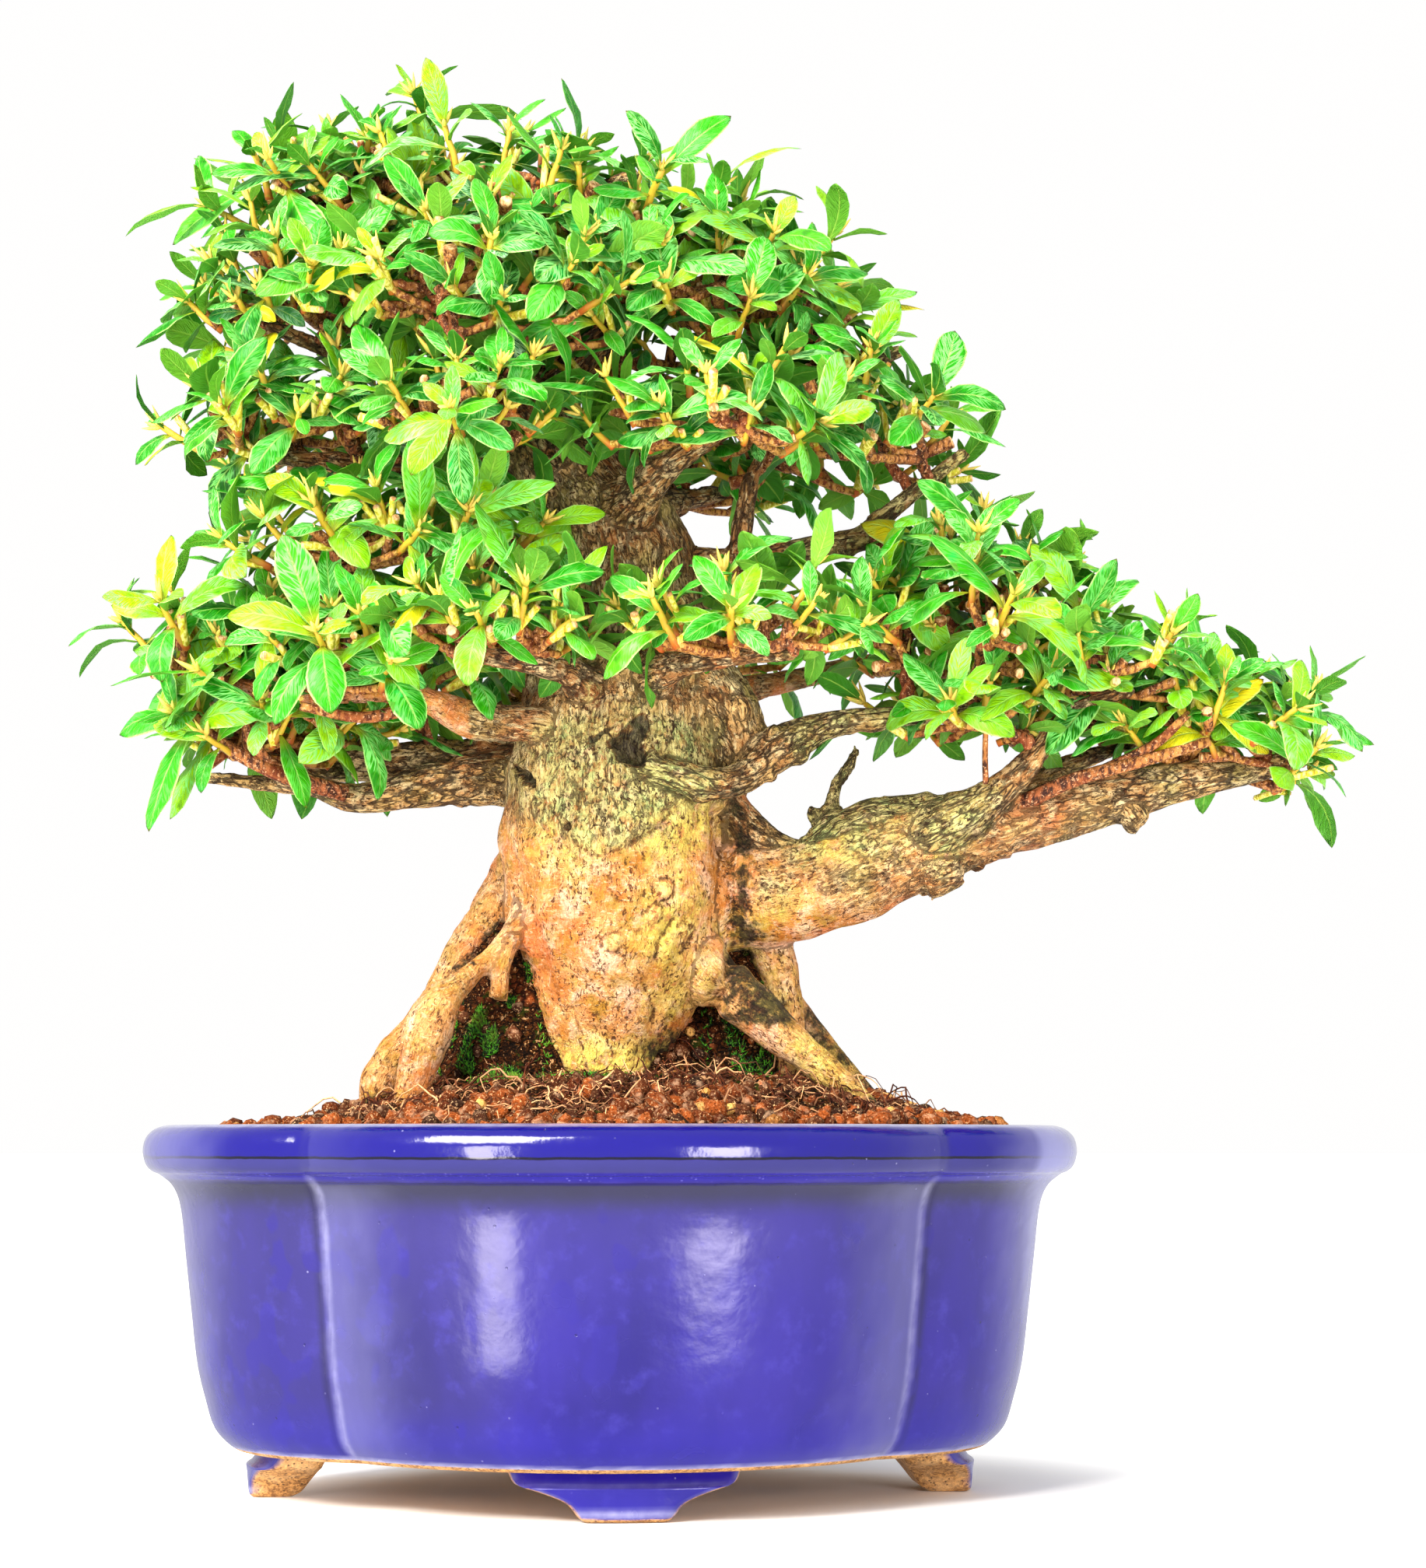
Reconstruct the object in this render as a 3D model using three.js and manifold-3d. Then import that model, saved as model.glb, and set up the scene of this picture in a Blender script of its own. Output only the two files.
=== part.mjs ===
// A satsuki azalea bonsai in a glazed quatrefoil pot, in millimetres, +Z up.
// The pot's long axis lies along X, its front faces -Y, and the part stands on its four feet at z = 0.
import * as THREE from "three";
import { mergeVertices } from "three/addons/utils/BufferGeometryUtils.js";
import Module from "manifold-3d";

const wasm = await Module();
wasm.setup();

// Driving dimensions of the pot
const POT_HEIGHT = 104;
const FOOT_HEIGHT = 13;
const FLOOR_TOP = 19;
const WALL_HALF_WIDTH = 124;
const WALL_HALF_DEPTH = 101;
const NOTCH_X = 80.5;
const NOTCH_Y = 64;
const LIP_OUT = 11;
const DRAIN_RADIUS = 10;
const DRAIN_X = 45;

// Driving dimensions of the planting
const GAP = 0.45;
const TWIST = 0.05;
const NET_SIDE = 33;
const NET_THICK = 1.2;
const SOIL_EDGE_Z = 99;
const SOIL_MOUND = 15;
const SOIL_BANK = 30;
const TREE_TURN = THREE.MathUtils.degToRad(-4.5);

// Driving dimensions of the foliage
const LEAF_LENGTH = 30;
const LEAF_WIDTH = 0.45;
const LEAF_THICK = 1.3;
const LEAVES_PER_SHOOT = 7;
const SHOOT_LENGTH = 15;
const SHOOT_RADIUS = 1.3;
const TWIG_RADIUS = 1.7;
const TWIG_LENGTH = 7;
const SPRAY_REACH = 110;
const STEM_TRIES = 8;
const LEAF_TRIES = 14;
const GOLDEN_ANGLE = Math.PI * (3 - Math.sqrt(5));

// Solids and skins

function solidOf(geometry) {
  const bare = new THREE.BufferGeometry();
  bare.setAttribute("position", geometry.getAttribute("position"));
  bare.setIndex(geometry.getIndex());
  const merged = mergeVertices(bare, 1e-4);
  return new wasm.Manifold(
    new wasm.Mesh({
      numProp: 3,
      vertProperties: merged.attributes.position.array,
      triVerts: new Uint32Array(merged.index.array),
    }),
  );
}

function geometryOf(solid) {
  const mesh = solid.getMesh();
  const geometry = new THREE.BufferGeometry();
  geometry.setAttribute("position", new THREE.BufferAttribute(mesh.vertProperties, 3));
  geometry.setIndex(new THREE.BufferAttribute(mesh.triVerts, 1));
  geometry.computeVertexNormals();
  return geometry;
}

function skin(points, faces) {
  const geometry = new THREE.BufferGeometry();
  geometry.setAttribute(
    "position",
    new THREE.Float32BufferAttribute(points.flatMap((p) => [p.x, p.y, p.z]), 3),
  );
  geometry.setIndex(faces.flat());
  return geometry;
}

// A closed skin over a stack of rings, each turning left as seen from the next one, with a fan at both ends.
function loft(rings, firstCentre, lastCentre) {
  const count = rings[0].length;
  const points = [...rings.flat(), firstCentre, lastCentre];
  const first = points.length - 2;
  const last = points.length - 1;
  const faces = [];
  for (let j = 0; j < count; j++) {
    const k = (j + 1) % count;
    faces.push([first, k, j]);
    for (let i = 0; i + 1 < rings.length; i++) {
      const low = i * count;
      const high = low + count;
      faces.push([low + j, low + k, high + k]);
      faces.push([low + j, high + k, high + j]);
    }
    const top = (rings.length - 1) * count;
    faces.push([last, top + j, top + k]);
  }
  return skin(points, faces);
}

function box(width, depth, height, x, y, z) {
  return new THREE.BoxGeometry(width, depth, height).translate(x, y, z);
}

// A repeatable draw from 0 to 1.
function dice(seed) {
  let state = seed;
  return () => {
    state = (state + 0x6d2b79f5) | 0;
    let t = Math.imul(state ^ (state >>> 15), 1 | state);
    t = (t + Math.imul(t ^ (t >>> 7), 61 | t)) ^ t;
    return ((t ^ (t >>> 14)) >>> 0) / 4294967296;
  };
}

// The quatrefoil pot

// An arc over a half span, bulging by rise, as [along, out] pairs, without its last point.
function arc(halfSpan, rise, steps) {
  const radius = (halfSpan ** 2 + rise ** 2) / (2 * rise);
  const half = Math.asin(halfSpan / radius);
  return Array.from({ length: steps }, (_, i) => {
    const angle = -half + (2 * half * i) / steps;
    return [radius * Math.sin(angle), radius * (Math.cos(angle) - Math.cos(half))];
  });
}

// The four-lobed outline, moved outwards by offset: two wide lobes and two narrow ones that meet in notches.
function quatrefoil(offset, z, wideSteps = 12, narrowSteps = 10) {
  const x = NOTCH_X + 0.62 * offset;
  const y = NOTCH_Y + 0.75 * offset;
  const wide = arc(x, WALL_HALF_DEPTH + offset - y, wideSteps);
  const narrow = arc(y, WALL_HALF_WIDTH + offset - x, narrowSteps);
  return [
    ...wide.map(([a, out]) => new THREE.Vector3(a, -y - out, z)),
    ...narrow.map(([a, out]) => new THREE.Vector3(x + out, a, z)),
    ...wide.map(([a, out]) => new THREE.Vector3(-a, y + out, z)),
    ...narrow.map(([a, out]) => new THREE.Vector3(-x - out, -a, z)),
  ];
}

const POT_PROFILE = [
  [FOOT_HEIGHT, -18],
  [FOOT_HEIGHT + 1.2, -14.8],
  [19, -10.5],
  [36, -5.5],
  [82, 0],
  [88.5, 3.5],
  [91.5, 8.8],
  [98, LIP_OUT],
  [102.8, 8],
  [POT_HEIGHT, 2],
  [101, -4.5],
  [94, -7],
  [40, -12.5],
  [22, -17],
  [FLOOR_TOP, -24],
];

// One foot as a stack of sections: height, half width along the wall and thickness.
const FOOT_PROFILE = [
  [0, 12, 15],
  [1.2, 13, 16.5],
  [4.5, 16, 19],
  [7, 22, 21],
  [9.5, 29.5, 23],
  [FOOT_HEIGHT, 31.5, 25],
  [FOOT_HEIGHT + 2, 31.5, 25],
];

// A cloud-shaped foot under a lobe whose face stands at reach from the pot's middle and curves with radius.
function foot(reach, radius, scale, turn) {
  const face = [-1, -0.4, 0.4, 1];
  const rings = FOOT_PROFILE.map(([z, half, thick]) => {
    const inset = z < FOOT_HEIGHT ? 1.5 - 0.08 * z : 0;
    const front = face.map((s) => {
      const along = s * half * scale;
      const drop = radius - Math.sqrt(radius ** 2 - along ** 2);
      return new THREE.Vector3(along, -(reach - inset - drop), z);
    });
    const back = face.map((s) => new THREE.Vector3(-s * half * scale * 0.94, -(reach - thick), z));
    return [...front, ...back];
  });
  const bottom = new THREE.Vector3(0, -reach + 8, 0);
  const top = new THREE.Vector3(0, -reach + 8, FOOT_HEIGHT + 2);
  return loft(rings, bottom, top).rotateZ(turn);
}

function potSolid() {
  const rings = POT_PROFILE.map(([z, offset]) => quatrefoil(offset, z));
  let pot = solidOf(
    loft(rings, new THREE.Vector3(0, 0, FOOT_HEIGHT), new THREE.Vector3(0, 0, FLOOR_TOP)),
  );
  for (const turn of [0, Math.PI]) {
    pot = pot.add(solidOf(foot(WALL_HALF_DEPTH - 19.5, 89, 1, turn)));
    pot = pot.add(solidOf(foot(WALL_HALF_WIDTH - 19.5, 55, 0.85, turn + Math.PI / 2)));
  }
  for (const x of [-DRAIN_X, DRAIN_X]) {
    const hole = new THREE.CylinderGeometry(DRAIN_RADIUS, DRAIN_RADIUS, 20, 20);
    pot = pot.subtract(solidOf(hole.rotateX(Math.PI / 2).translate(x, 0, 16)));
  }
  return pot;
}

// The plastic net that keeps soil from running out of a drain hole.
function netSolid(x) {
  const z = FLOOR_TOP + GAP + NET_THICK / 2;
  const cells = 2;
  const pitch = NET_SIDE / cells;
  let net = solidOf(box(NET_SIDE, NET_SIDE, NET_THICK, x, 0, z));
  for (let i = 0; i < cells; i++) {
    for (let j = 0; j < cells; j++) {
      const px = x + (i - (cells - 1) / 2) * pitch;
      const py = (j - (cells - 1) / 2) * pitch;
      net = net.subtract(solidOf(box(pitch * 0.7, pitch * 0.7, NET_THICK * 3, px, py, z)));
    }
  }
  return net;
}

// Wood: each limb is a run of [x, y, z, radius] points in the tree's own frame, which faces the viewer

const TRUNK = [
  [-4, 2, 90, 22],
  [-4, 0, 104, 20],
  [-3, -1, 117, 17.5],
  [-2, -1, 131, 21],
  [-1, 0, 147, 28],
  [1, 0, 165, 32.5],
  [1, 0, 186, 33.2],
  [1, 0, 206, 32.8],
  [1, 1, 220, 30.5],
  [2, 2, 240, 26.5],
  [1, 3, 262, 24.5],
  [-4, 4, 280, 22],
  [-16, 5, 298, 17],
  [-28, 5, 314, 13],
  [-38, 4, 333, 9.5],
  [-46, 2, 356, 6.5],
  [-54, 0, 388, 2.6],
];

const ROOTS = {
  leftBack: [
    [-20, 6, 182, 15],
    [-32, 6, 170, 11],
    [-44, 3, 153, 8.2],
    [-57, -1, 132, 6.6],
    [-68, -5, 115, 7.5],
    [-72, -6, 96, 5],
  ],
  leftFront: [
    [-22, -12, 166, 6],
    [-34, -17, 152, 3.4],
    [-49, -22, 143, 5.4],
    [-55.5, -25, 135, 8],
    [-58, -26, 124, 7],
    [-61, -28, 100, 3.4],
  ],
  leftStub: [
    [-25, -12, 166, 5],
    [-31, -17, 152, 3],
    [-32.5, -18, 139.5, 2.8],
  ],
  rightFront: [
    [16, -8, 158, 12],
    [33, -11, 143, 8],
    [52, -16, 127, 5.6],
    [66, -19, 115, 4.4],
    [78, -21, 103, 2.8],
  ],
  rightMiddle: [
    [30, 4, 174, 13],
    [44, 6, 161, 8],
    [51, 5, 147, 6.4],
    [54, 3, 126, 5.4],
    [55, 2, 106, 4.6],
  ],
  rightBack: [
    [42, 10, 156, 8],
    [58, 12, 136, 5.8],
    [82, 18, 103, 3.2],
  ],
  backLeft: [
    [-12, 14, 172, 14],
    [-24, 31, 142, 8.8],
    [-43, 56, 101, 4.4],
  ],
  backRight: [
    [12, 16, 172, 14],
    [22, 35, 142, 8.8],
    [39, 60, 101, 4.4],
  ],
  back: [
    [0, 18, 164, 12],
    [-1, 38, 136, 8],
    [-5, 60, 101, 4.6],
  ],
};

const BRANCHES = {
  lowRight: [
    [16, 2, 172, 20],
    [40, 0, 171, 15.5],
    [55, -3, 172, 14.2],
    [71, -5, 178, 14.5],
    [87, -6, 185, 13],
    [107, -6, 192.5, 9.6],
    [122, -5, 197, 7.8],
    [145, -2, 203, 6.4],
    [172, 0, 206.5, 4],
    [200, 2, 210.5, 2],
  ],
  lowRightHump: [
    [58, -6, 180, 7],
    [70, -9, 189.5, 7],
    [93, -8, 194, 6.5],
  ],
  lowRightFront: [
    [88, -8, 188, 8],
    [103, -13, 196, 5.6],
    [127, -18, 215, 3],
    [150, -20, 226, 2],
  ],
  lowRightBack: [
    [96, 0, 191, 7],
    [118, 12, 204, 4.2],
    [160, 24, 221, 2],
  ],
  lowRightKnob: [
    [148, -3, 203, 4],
    [157, -5, 192.5, 3],
  ],
  oldCutTwig: [
    [62, -6, 182, 2.6],
    [64, -6, 197, 1.9],
    [71, -6, 213.5, 1.1],
  ],
  lowLeft: [
    [-14, 6, 204, 10],
    [-36, 8, 208, 6.8],
    [-60, 5, 203.5, 5],
    [-76, 2, 199.5, 4],
    [-96, -1, 206.5, 2.8],
    [-116, -3, 219, 1.8],
  ],
  lowLeftTip: [
    [-84, 0, 202, 3],
    [-122, 8, 206.5, 1.7],
  ],
  leftFront: [
    [-6, -12, 214, 9],
    [-21, -22, 218, 5.2],
    [-40, -26, 219, 5],
    [-57, -28, 226, 3.6],
    [-92, -26, 227, 2.8],
    [-124, -19, 233, 1.7],
  ],
  leftBack: [
    [-8, 10, 222, 11],
    [-33, 34, 228, 5],
    [-88, 52, 242, 2],
  ],
  rightLoop: [
    [0, -22, 208, 6],
    [14, -30, 204, 4.8],
    [32, -25, 201, 5.2],
    [47, -15, 212, 6.4],
    [62, -14, 219, 4.4],
    [104, -20, 223, 1.9],
  ],
  rightBack: [
    [8, 12, 228, 11],
    [35, 38, 236, 5],
    [92, 52, 251, 2],
  ],
  frontLeft: [
    [-4, -14, 226, 8],
    [-14, -38, 232, 4],
    [-44, -58, 234, 2],
  ],
  frontRight: [
    [8, -14, 230, 8],
    [19, -38, 233, 4],
    [52, -58, 234, 2],
  ],
  middleRightStub: [
    [8, 2, 266, 10],
    [30, 0, 268.5, 4.8],
    [75, -3, 276.5, 3.6],
  ],
  middleRightUp: [
    [36, -1, 268, 3.6],
    [40, -5, 292, 2.4],
    [44, -6, 303, 1.7],
  ],
  middleRightOut: [
    [67, -2, 273, 3.2],
    [104, 0, 303, 1.8],
  ],
  middleLeft: [
    [-8, 4, 294, 11],
    [-36, 2, 297, 5.2],
    [-110, -4, 301, 1.8],
  ],
  middleRight: [
    [-6, 4, 286, 12],
    [16, 4, 303, 6.2],
    [86, 4, 335, 1.9],
  ],
  upperFrontLeft: [
    [-16, 0, 298, 10],
    [-25, -30, 308, 4],
    [-40, -58, 318, 1.9],
  ],
  upperFrontRight: [
    [0, -4, 280, 12],
    [15, -34, 290, 4],
    [38, -58, 301, 1.9],
  ],
  upperBackLeft: [
    [-16, 8, 298, 10],
    [-29, 36, 310, 4],
    [-50, 64, 321, 1.9],
  ],
  upperBackRight: [
    [0, 8, 282, 12],
    [17, 38, 295, 4],
    [50, 62, 306, 1.9],
  ],
  crownLeft: [
    [-30, 4, 318, 9],
    [-54, 4, 323, 4],
    [-104, 0, 341, 1.9],
  ],
  crownRight: [
    [-26, 4, 312, 10],
    [-8, 4, 334, 5.2],
    [14, 4, 349, 4],
    [52, 4, 364, 1.9],
  ],
  crownTopLeft: [
    [-42, 2, 345, 6],
    [-62, 0, 356, 3.4],
    [-98, 0, 367, 1.8],
  ],
  crownTopRight: [
    [-46, 2, 356, 5],
    [-30, 0, 371, 3.4],
    [6, 0, 388, 1.8],
  ],
  crownFront: [
    [-38, 2, 334, 7],
    [-30, -38, 358, 1.9],
  ],
  crownBack: [
    [-41, 4, 340, 7],
    [-34, 42, 361, 1.9],
  ],
};

const turned = ([x, y, z]) =>
  new THREE.Vector3(x, y, z).applyAxisAngle(new THREE.Vector3(0, 0, 1), TREE_TURN);

// A tapered, slightly twisted tube through a limb's points, swollen by grow.
function tube(limb, sides, grow) {
  const curve = new THREE.CatmullRomCurve3(limb.map(turned), false, "centripetal");
  const last = limb.length - 1;
  let side = new THREE.Vector3(0.3, -1, 0.2);
  const rings = [];
  const centres = [];
  limb.forEach((at, i) => {
    const t = i / last;
    const ahead = curve.getTangent(t);
    side = side.clone().addScaledVector(ahead, -side.dot(ahead)).normalize();
    const across = new THREE.Vector3().crossVectors(ahead, side);
    const centre = curve.getPoint(t);
    if (i === 0) centre.addScaledVector(ahead, -grow);
    if (i === last) centre.addScaledVector(ahead, grow);
    centres.push(centre);
    rings.push(
      Array.from({ length: sides }, (_, j) => {
        const angle = (2 * Math.PI * j) / sides;
        const swell = 1 + TWIST * Math.sin(3 * angle + 5 * t) * Math.sin(9 * t + angle);
        const reach = (at[3] + grow) * swell;
        return centre
          .clone()
          .addScaledVector(side, reach * Math.cos(angle))
          .addScaledVector(across, reach * Math.sin(angle));
      }),
    );
  });
  return loft(rings, centres[0], centres[last]);
}

function thickLimbs(grow) {
  return [tube(TRUNK, 12, grow), ...Object.values(ROOTS).map((limb) => tube(limb, 5, grow))];
}

// Foliage: pads of leafy shoots over the limbs, each pad the upper part of an ellipsoid.
// The last shoot of a pad is its lowest, and lies towards its side, in degrees from +X.

const PADS = [
  { name: "crown", at: [-44, 0, 358], reach: [44, 38, 28], shoots: 5, side: 170 },
  { name: "crown left", at: [-94, 0, 338], reach: [20, 32, 18], shoots: 3, side: 190 },
  { name: "crown right", at: [24, 0, 328], reach: [34, 36, 26], shoots: 4, side: 10 },
  { name: "upper front", at: [-38, -44, 334], reach: [30, 12, 12], shoots: 3, side: 250 },
  { name: "upper back", at: [-34, 48, 338], reach: [28, 12, 12], shoots: 2, side: 80 },
  { name: "middle left", at: [-94, 0, 301], reach: [22, 32, 12], shoots: 3, side: 180 },
  { name: "middle right", at: [62, 0, 300], reach: [28, 38, 14], shoots: 4, side: -20 },
  { name: "middle front left", at: [-42, -54, 296], reach: [18, 10, 8], shoots: 2, side: 230 },
  { name: "middle front right", at: [26, -52, 294], reach: [20, 10, 8], shoots: 2, side: 300 },
  { name: "middle back", at: [-12, 56, 298], reach: [46, 12, 8], shoots: 3, side: 60 },
  { name: "low left", at: [-72, -6, 230], reach: [22, 34, 10], shoots: 3, side: 250 },
  { name: "low left tip", at: [-97, 2, 217], reach: [16, 24, 12], shoots: 3, side: 180 },
  { name: "low front left", at: [-30, -56, 236], reach: [16, 8, 4], shoots: 2, side: 230 },
  { name: "low front right", at: [36, -56, 236], reach: [20, 8, 4], shoots: 2, side: 310 },
  { name: "low right", at: [100, -6, 240], reach: [26, 34, 12], shoots: 3, side: 280 },
  { name: "low right outer", at: [144, 0, 228], reach: [18, 26, 10], shoots: 2, side: 100 },
  { name: "low right tip", at: [172, 0, 213], reach: [18, 16, 8], shoots: 2, side: -10 },
  { name: "low back", at: [-2, 56, 238], reach: [50, 12, 6], shoots: 2, side: 100 },
];

// Where each shoot starts and which way it grows: a golden-angle spiral from each pad's top down to its side.
function shootPlan() {
  return PADS.flatMap(({ at, reach, shoots, side }) =>
    Array.from({ length: shoots }, (_, i) => {
      const level = 1 - (0.95 * (i + 0.5)) / shoots;
      const ring = Math.sqrt(1 - level * level);
      const angle = THREE.MathUtils.degToRad(side) + (shoots - 1 - i) * GOLDEN_ANGLE;
      const unit = [ring * Math.cos(angle), ring * Math.sin(angle), level];
      const base = turned(at.map((c, k) => c + unit[k] * reach[k]));
      const out = turned(unit).add(new THREE.Vector3(0, 0, 0.5)).normalize();
      return { base, out };
    }),
  );
}

// Each shoot grows at the end of a thin twig from the limb that it can reach best, and stands off that limb.
function rooted({ base, out }, samples) {
  const cost = (s) => s.point.distanceTo(base) + 0.8 * Math.max(0, s.point.z - base.z + 4);
  const limb = samples.reduce((best, s) => (cost(s) < cost(best) ? s : best));
  const towards = base.clone().sub(limb.point).normalize();
  const short = TWIG_LENGTH + limb.radius - base.distanceTo(limb.point);
  if (short > 0) base.addScaledVector(towards.lerp(out, 0.7).normalize(), short);
  const facing = base.clone().sub(limb.point).normalize().addScaledVector(out, 1.2).normalize();
  return { base, out, facing, limb };
}

function twig({ base, facing, limb }) {
  const end = base.clone().addScaledVector(facing, -GAP);
  return [
    { p: limb.point, r: Math.min(TWIG_RADIUS + 0.6, 0.8 * limb.radius) },
    { p: end, r: TWIG_RADIUS, facing },
  ];
}

function limbSamples() {
  const samples = [];
  for (const limb of [TRUNK.slice(8), ...Object.values(BRANCHES)]) {
    for (let i = 1; i < limb.length; i++) {
      for (const mix of [0.25, 0.5, 0.75, 1]) {
        const at = limb[i].map((c, k) => limb[i - 1][k] * (1 - mix) + c * mix);
        samples.push({ point: turned(at), radius: at[3] });
      }
    }
  }
  return samples;
}

// A short tapered stick through points that are already in the part's frame.
function stick(joints, sides) {
  let side = new THREE.Vector3(1, 0.2, 0.1);
  const rings = joints.map(({ p, r, facing }, i) => {
    const before = joints[Math.max(0, i - 1)].p;
    const after = joints[Math.min(joints.length - 1, i + 1)].p;
    const ahead = facing ?? after.clone().sub(before).normalize();
    side = side.clone().addScaledVector(ahead, -side.dot(ahead)).normalize();
    const across = new THREE.Vector3().crossVectors(ahead, side);
    return Array.from({ length: sides }, (_, j) => {
      const angle = (2 * Math.PI * j) / sides;
      return p
        .clone()
        .addScaledVector(side, r * Math.cos(angle))
        .addScaledVector(across, r * Math.sin(angle));
    });
  });
  return loft(rings, joints[0].p, joints.at(-1).p);
}

// A leaf blade: a pointed oval with a flat underside and an upper face raised to a rib.
function blade(root, along, up, length, width, thick) {
  const across = new THREE.Vector3().crossVectors(up, along).normalize();
  const normal = new THREE.Vector3().crossVectors(along, across);
  const at = (a, s, n) =>
    root
      .clone()
      .addScaledVector(along, a * length)
      .addScaledVector(across, s * width)
      .addScaledVector(normal, n * length);
  const edge = [
    [0.28, 0.5, 0.015],
    [0.56, 1, 0.03],
    [0.84, 0.66, 0.005],
  ];
  const points = [at(0, 0, 0), at(1, 0, -0.01), at(0.5, 0, 0.03).addScaledVector(normal, thick)];
  for (const s of [0.5, -0.5]) points.push(...edge.map(([a, w, n]) => at(a, w * s, n)));
  const faces = [
    [0, 2, 3],
    [2, 4, 3],
    [2, 5, 4],
    [2, 1, 5],
    [0, 6, 2],
    [2, 6, 7],
    [2, 7, 8],
    [2, 8, 1],
    [0, 3, 6],
    [3, 4, 6],
    [4, 7, 6],
    [4, 5, 7],
    [5, 8, 7],
    [5, 1, 8],
  ];
  return skin(points, faces);
}

const crosses = (solid, others) =>
  others.some((other) => {
    const a = solid.boundingBox();
    const b = other.boundingBox();
    if ([0, 1, 2].some((k) => a.max[k] < b.min[k] || b.max[k] < a.min[k])) return false;
    return solid.intersect(other).volume() > 1e-6;
  });

// A shoot's bare stem, leaning a little more each time until it stands clear of the wood.
function stemOf({ base, out, facing }, wood, draw) {
  for (let attempt = 0; ; attempt++) {
    const lean = new THREE.Vector3(draw() - 0.5, draw() - 0.5, 0.2);
    const tip = base
      .clone()
      .addScaledVector(out, SHOOT_LENGTH)
      .addScaledVector(lean, 4 + 3 * attempt);
    const joints = [
      { p: base, r: SHOOT_RADIUS, facing },
      { p: tip, r: SHOOT_RADIUS * 0.7 },
    ];
    const solid = solidOf(stick(joints, 4));
    if (attempt === STEM_TRIES || !crosses(solid, [wood])) return { tip, solid };
  }
}

// All the sprays at once: stems first, then leaves in turn, each kept clear of the wood and of other sprays.
function spraySolids(shoots, wood) {
  const sprays = shoots.map((shoot, n) => {
    const draw = dice(500 + n);
    const { tip, solid } = stemOf(shoot, wood, draw);
    return { ...shoot, tip, draw, parts: [solid] };
  });
  for (let leaf = 0; leaf < LEAVES_PER_SHOOT; leaf++) {
    sprays.forEach((spray, n) => {
      const share = leaf / (LEAVES_PER_SHOOT - 1);
      const root = spray.base.clone().lerp(spray.tip, 0.3 + 0.66 * share);
      const side = new THREE.Vector3(0.1, 1, 0.2).cross(spray.out).normalize();
      const across = new THREE.Vector3().crossVectors(spray.out, side);
      const up = spray.out.clone().add(new THREE.Vector3(0, 0, 0.6)).normalize();
      const near = sprays.filter((s) => s !== spray && s.base.distanceTo(spray.base) < SPRAY_REACH);
      const blockers = [wood, ...near.flatMap((s) => s.parts)];
      for (let attempt = 0; attempt < LEAF_TRIES; attempt++) {
        const spin = (leaf + n) * GOLDEN_ANGLE + attempt * 0.55;
        const open = (1.45 - 0.85 * share) * (1 - 0.02 * attempt);
        const length = LEAF_LENGTH * (0.82 + 0.3 * spray.draw()) * (1 - 0.025 * attempt);
        const along = spray.out
          .clone()
          .multiplyScalar(Math.cos(open))
          .addScaledVector(side, Math.sin(open) * Math.cos(spin))
          .addScaledVector(across, Math.sin(open) * Math.sin(spin))
          .normalize();
        if (Math.abs(up.dot(along)) > 0.95) continue;
        const shape = (extra) =>
          solidOf(
            blade(root, along, up, length + extra, LEAF_WIDTH * length + 2 * extra, LEAF_THICK + 2 * extra),
          );
        if (crosses(shape(GAP), blockers)) continue;
        spray.parts.push(shape(0));
        break;
      }
    });
  }
  return sprays.map(({ base, parts }) => ({
    base,
    solid: parts.reduce((whole, piece) => whole.add(piece)),
  }));
}

// The soil's top: a broad mound, a steeper bank of old root ball behind the front of the trunk, and lumps.
function soilTop(x, y) {
  const ease = (t) => THREE.MathUtils.smoothstep(t, 0, 1);
  const mound = SOIL_MOUND * ease((116 - Math.hypot(x - 6, y / 0.85)) / 75);
  const bank = SOIL_BANK * ease(1.9 - 1.9 * Math.hypot((x - 2) / 62, (y - 22) / 42));
  const lumps = Math.sin(x * 0.83 + 2 * Math.sin(y * 0.31)) * Math.sin(y * 0.91 + 2 * Math.sin(x * 0.37));
  return SOIL_EDGE_Z + 1.5 + mound + bank + 0.9 * lumps;
}

function soilSolid() {
  const sides = [
    quatrefoil(-24.8, FLOOR_TOP + GAP),
    quatrefoil(-17.7, 22.3),
    quatrefoil(-13.1, 40),
    quatrefoil(-7.6, SOIL_EDGE_Z),
  ];
  const tops = [0.86, 0.7, 0.53, 0.35, 0.16].map((share) =>
    quatrefoil(-7.6, 0).map(({ x, y }) => {
      const [px, py] = [x * share, y * share];
      return new THREE.Vector3(px, py, soilTop(px, py));
    }),
  );
  let soil = solidOf(
    loft(
      [...sides, ...tops],
      new THREE.Vector3(0, 0, FLOOR_TOP + GAP),
      new THREE.Vector3(0, 0, soilTop(0, 0)),
    ),
  );
  for (const limb of thickLimbs(GAP)) soil = soil.subtract(solidOf(limb));
  const pocket = NET_SIDE + 2 * GAP;
  for (const x of [-DRAIN_X, DRAIN_X]) {
    const depth = 2 * (NET_THICK + GAP);
    soil = soil.subtract(solidOf(box(pocket, pocket, depth, x, 0, FLOOR_TOP + GAP)));
  }
  const pieces = soil.decompose();
  return pieces.reduce((a, b) => (a.volume() > b.volume() ? a : b));
}

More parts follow.
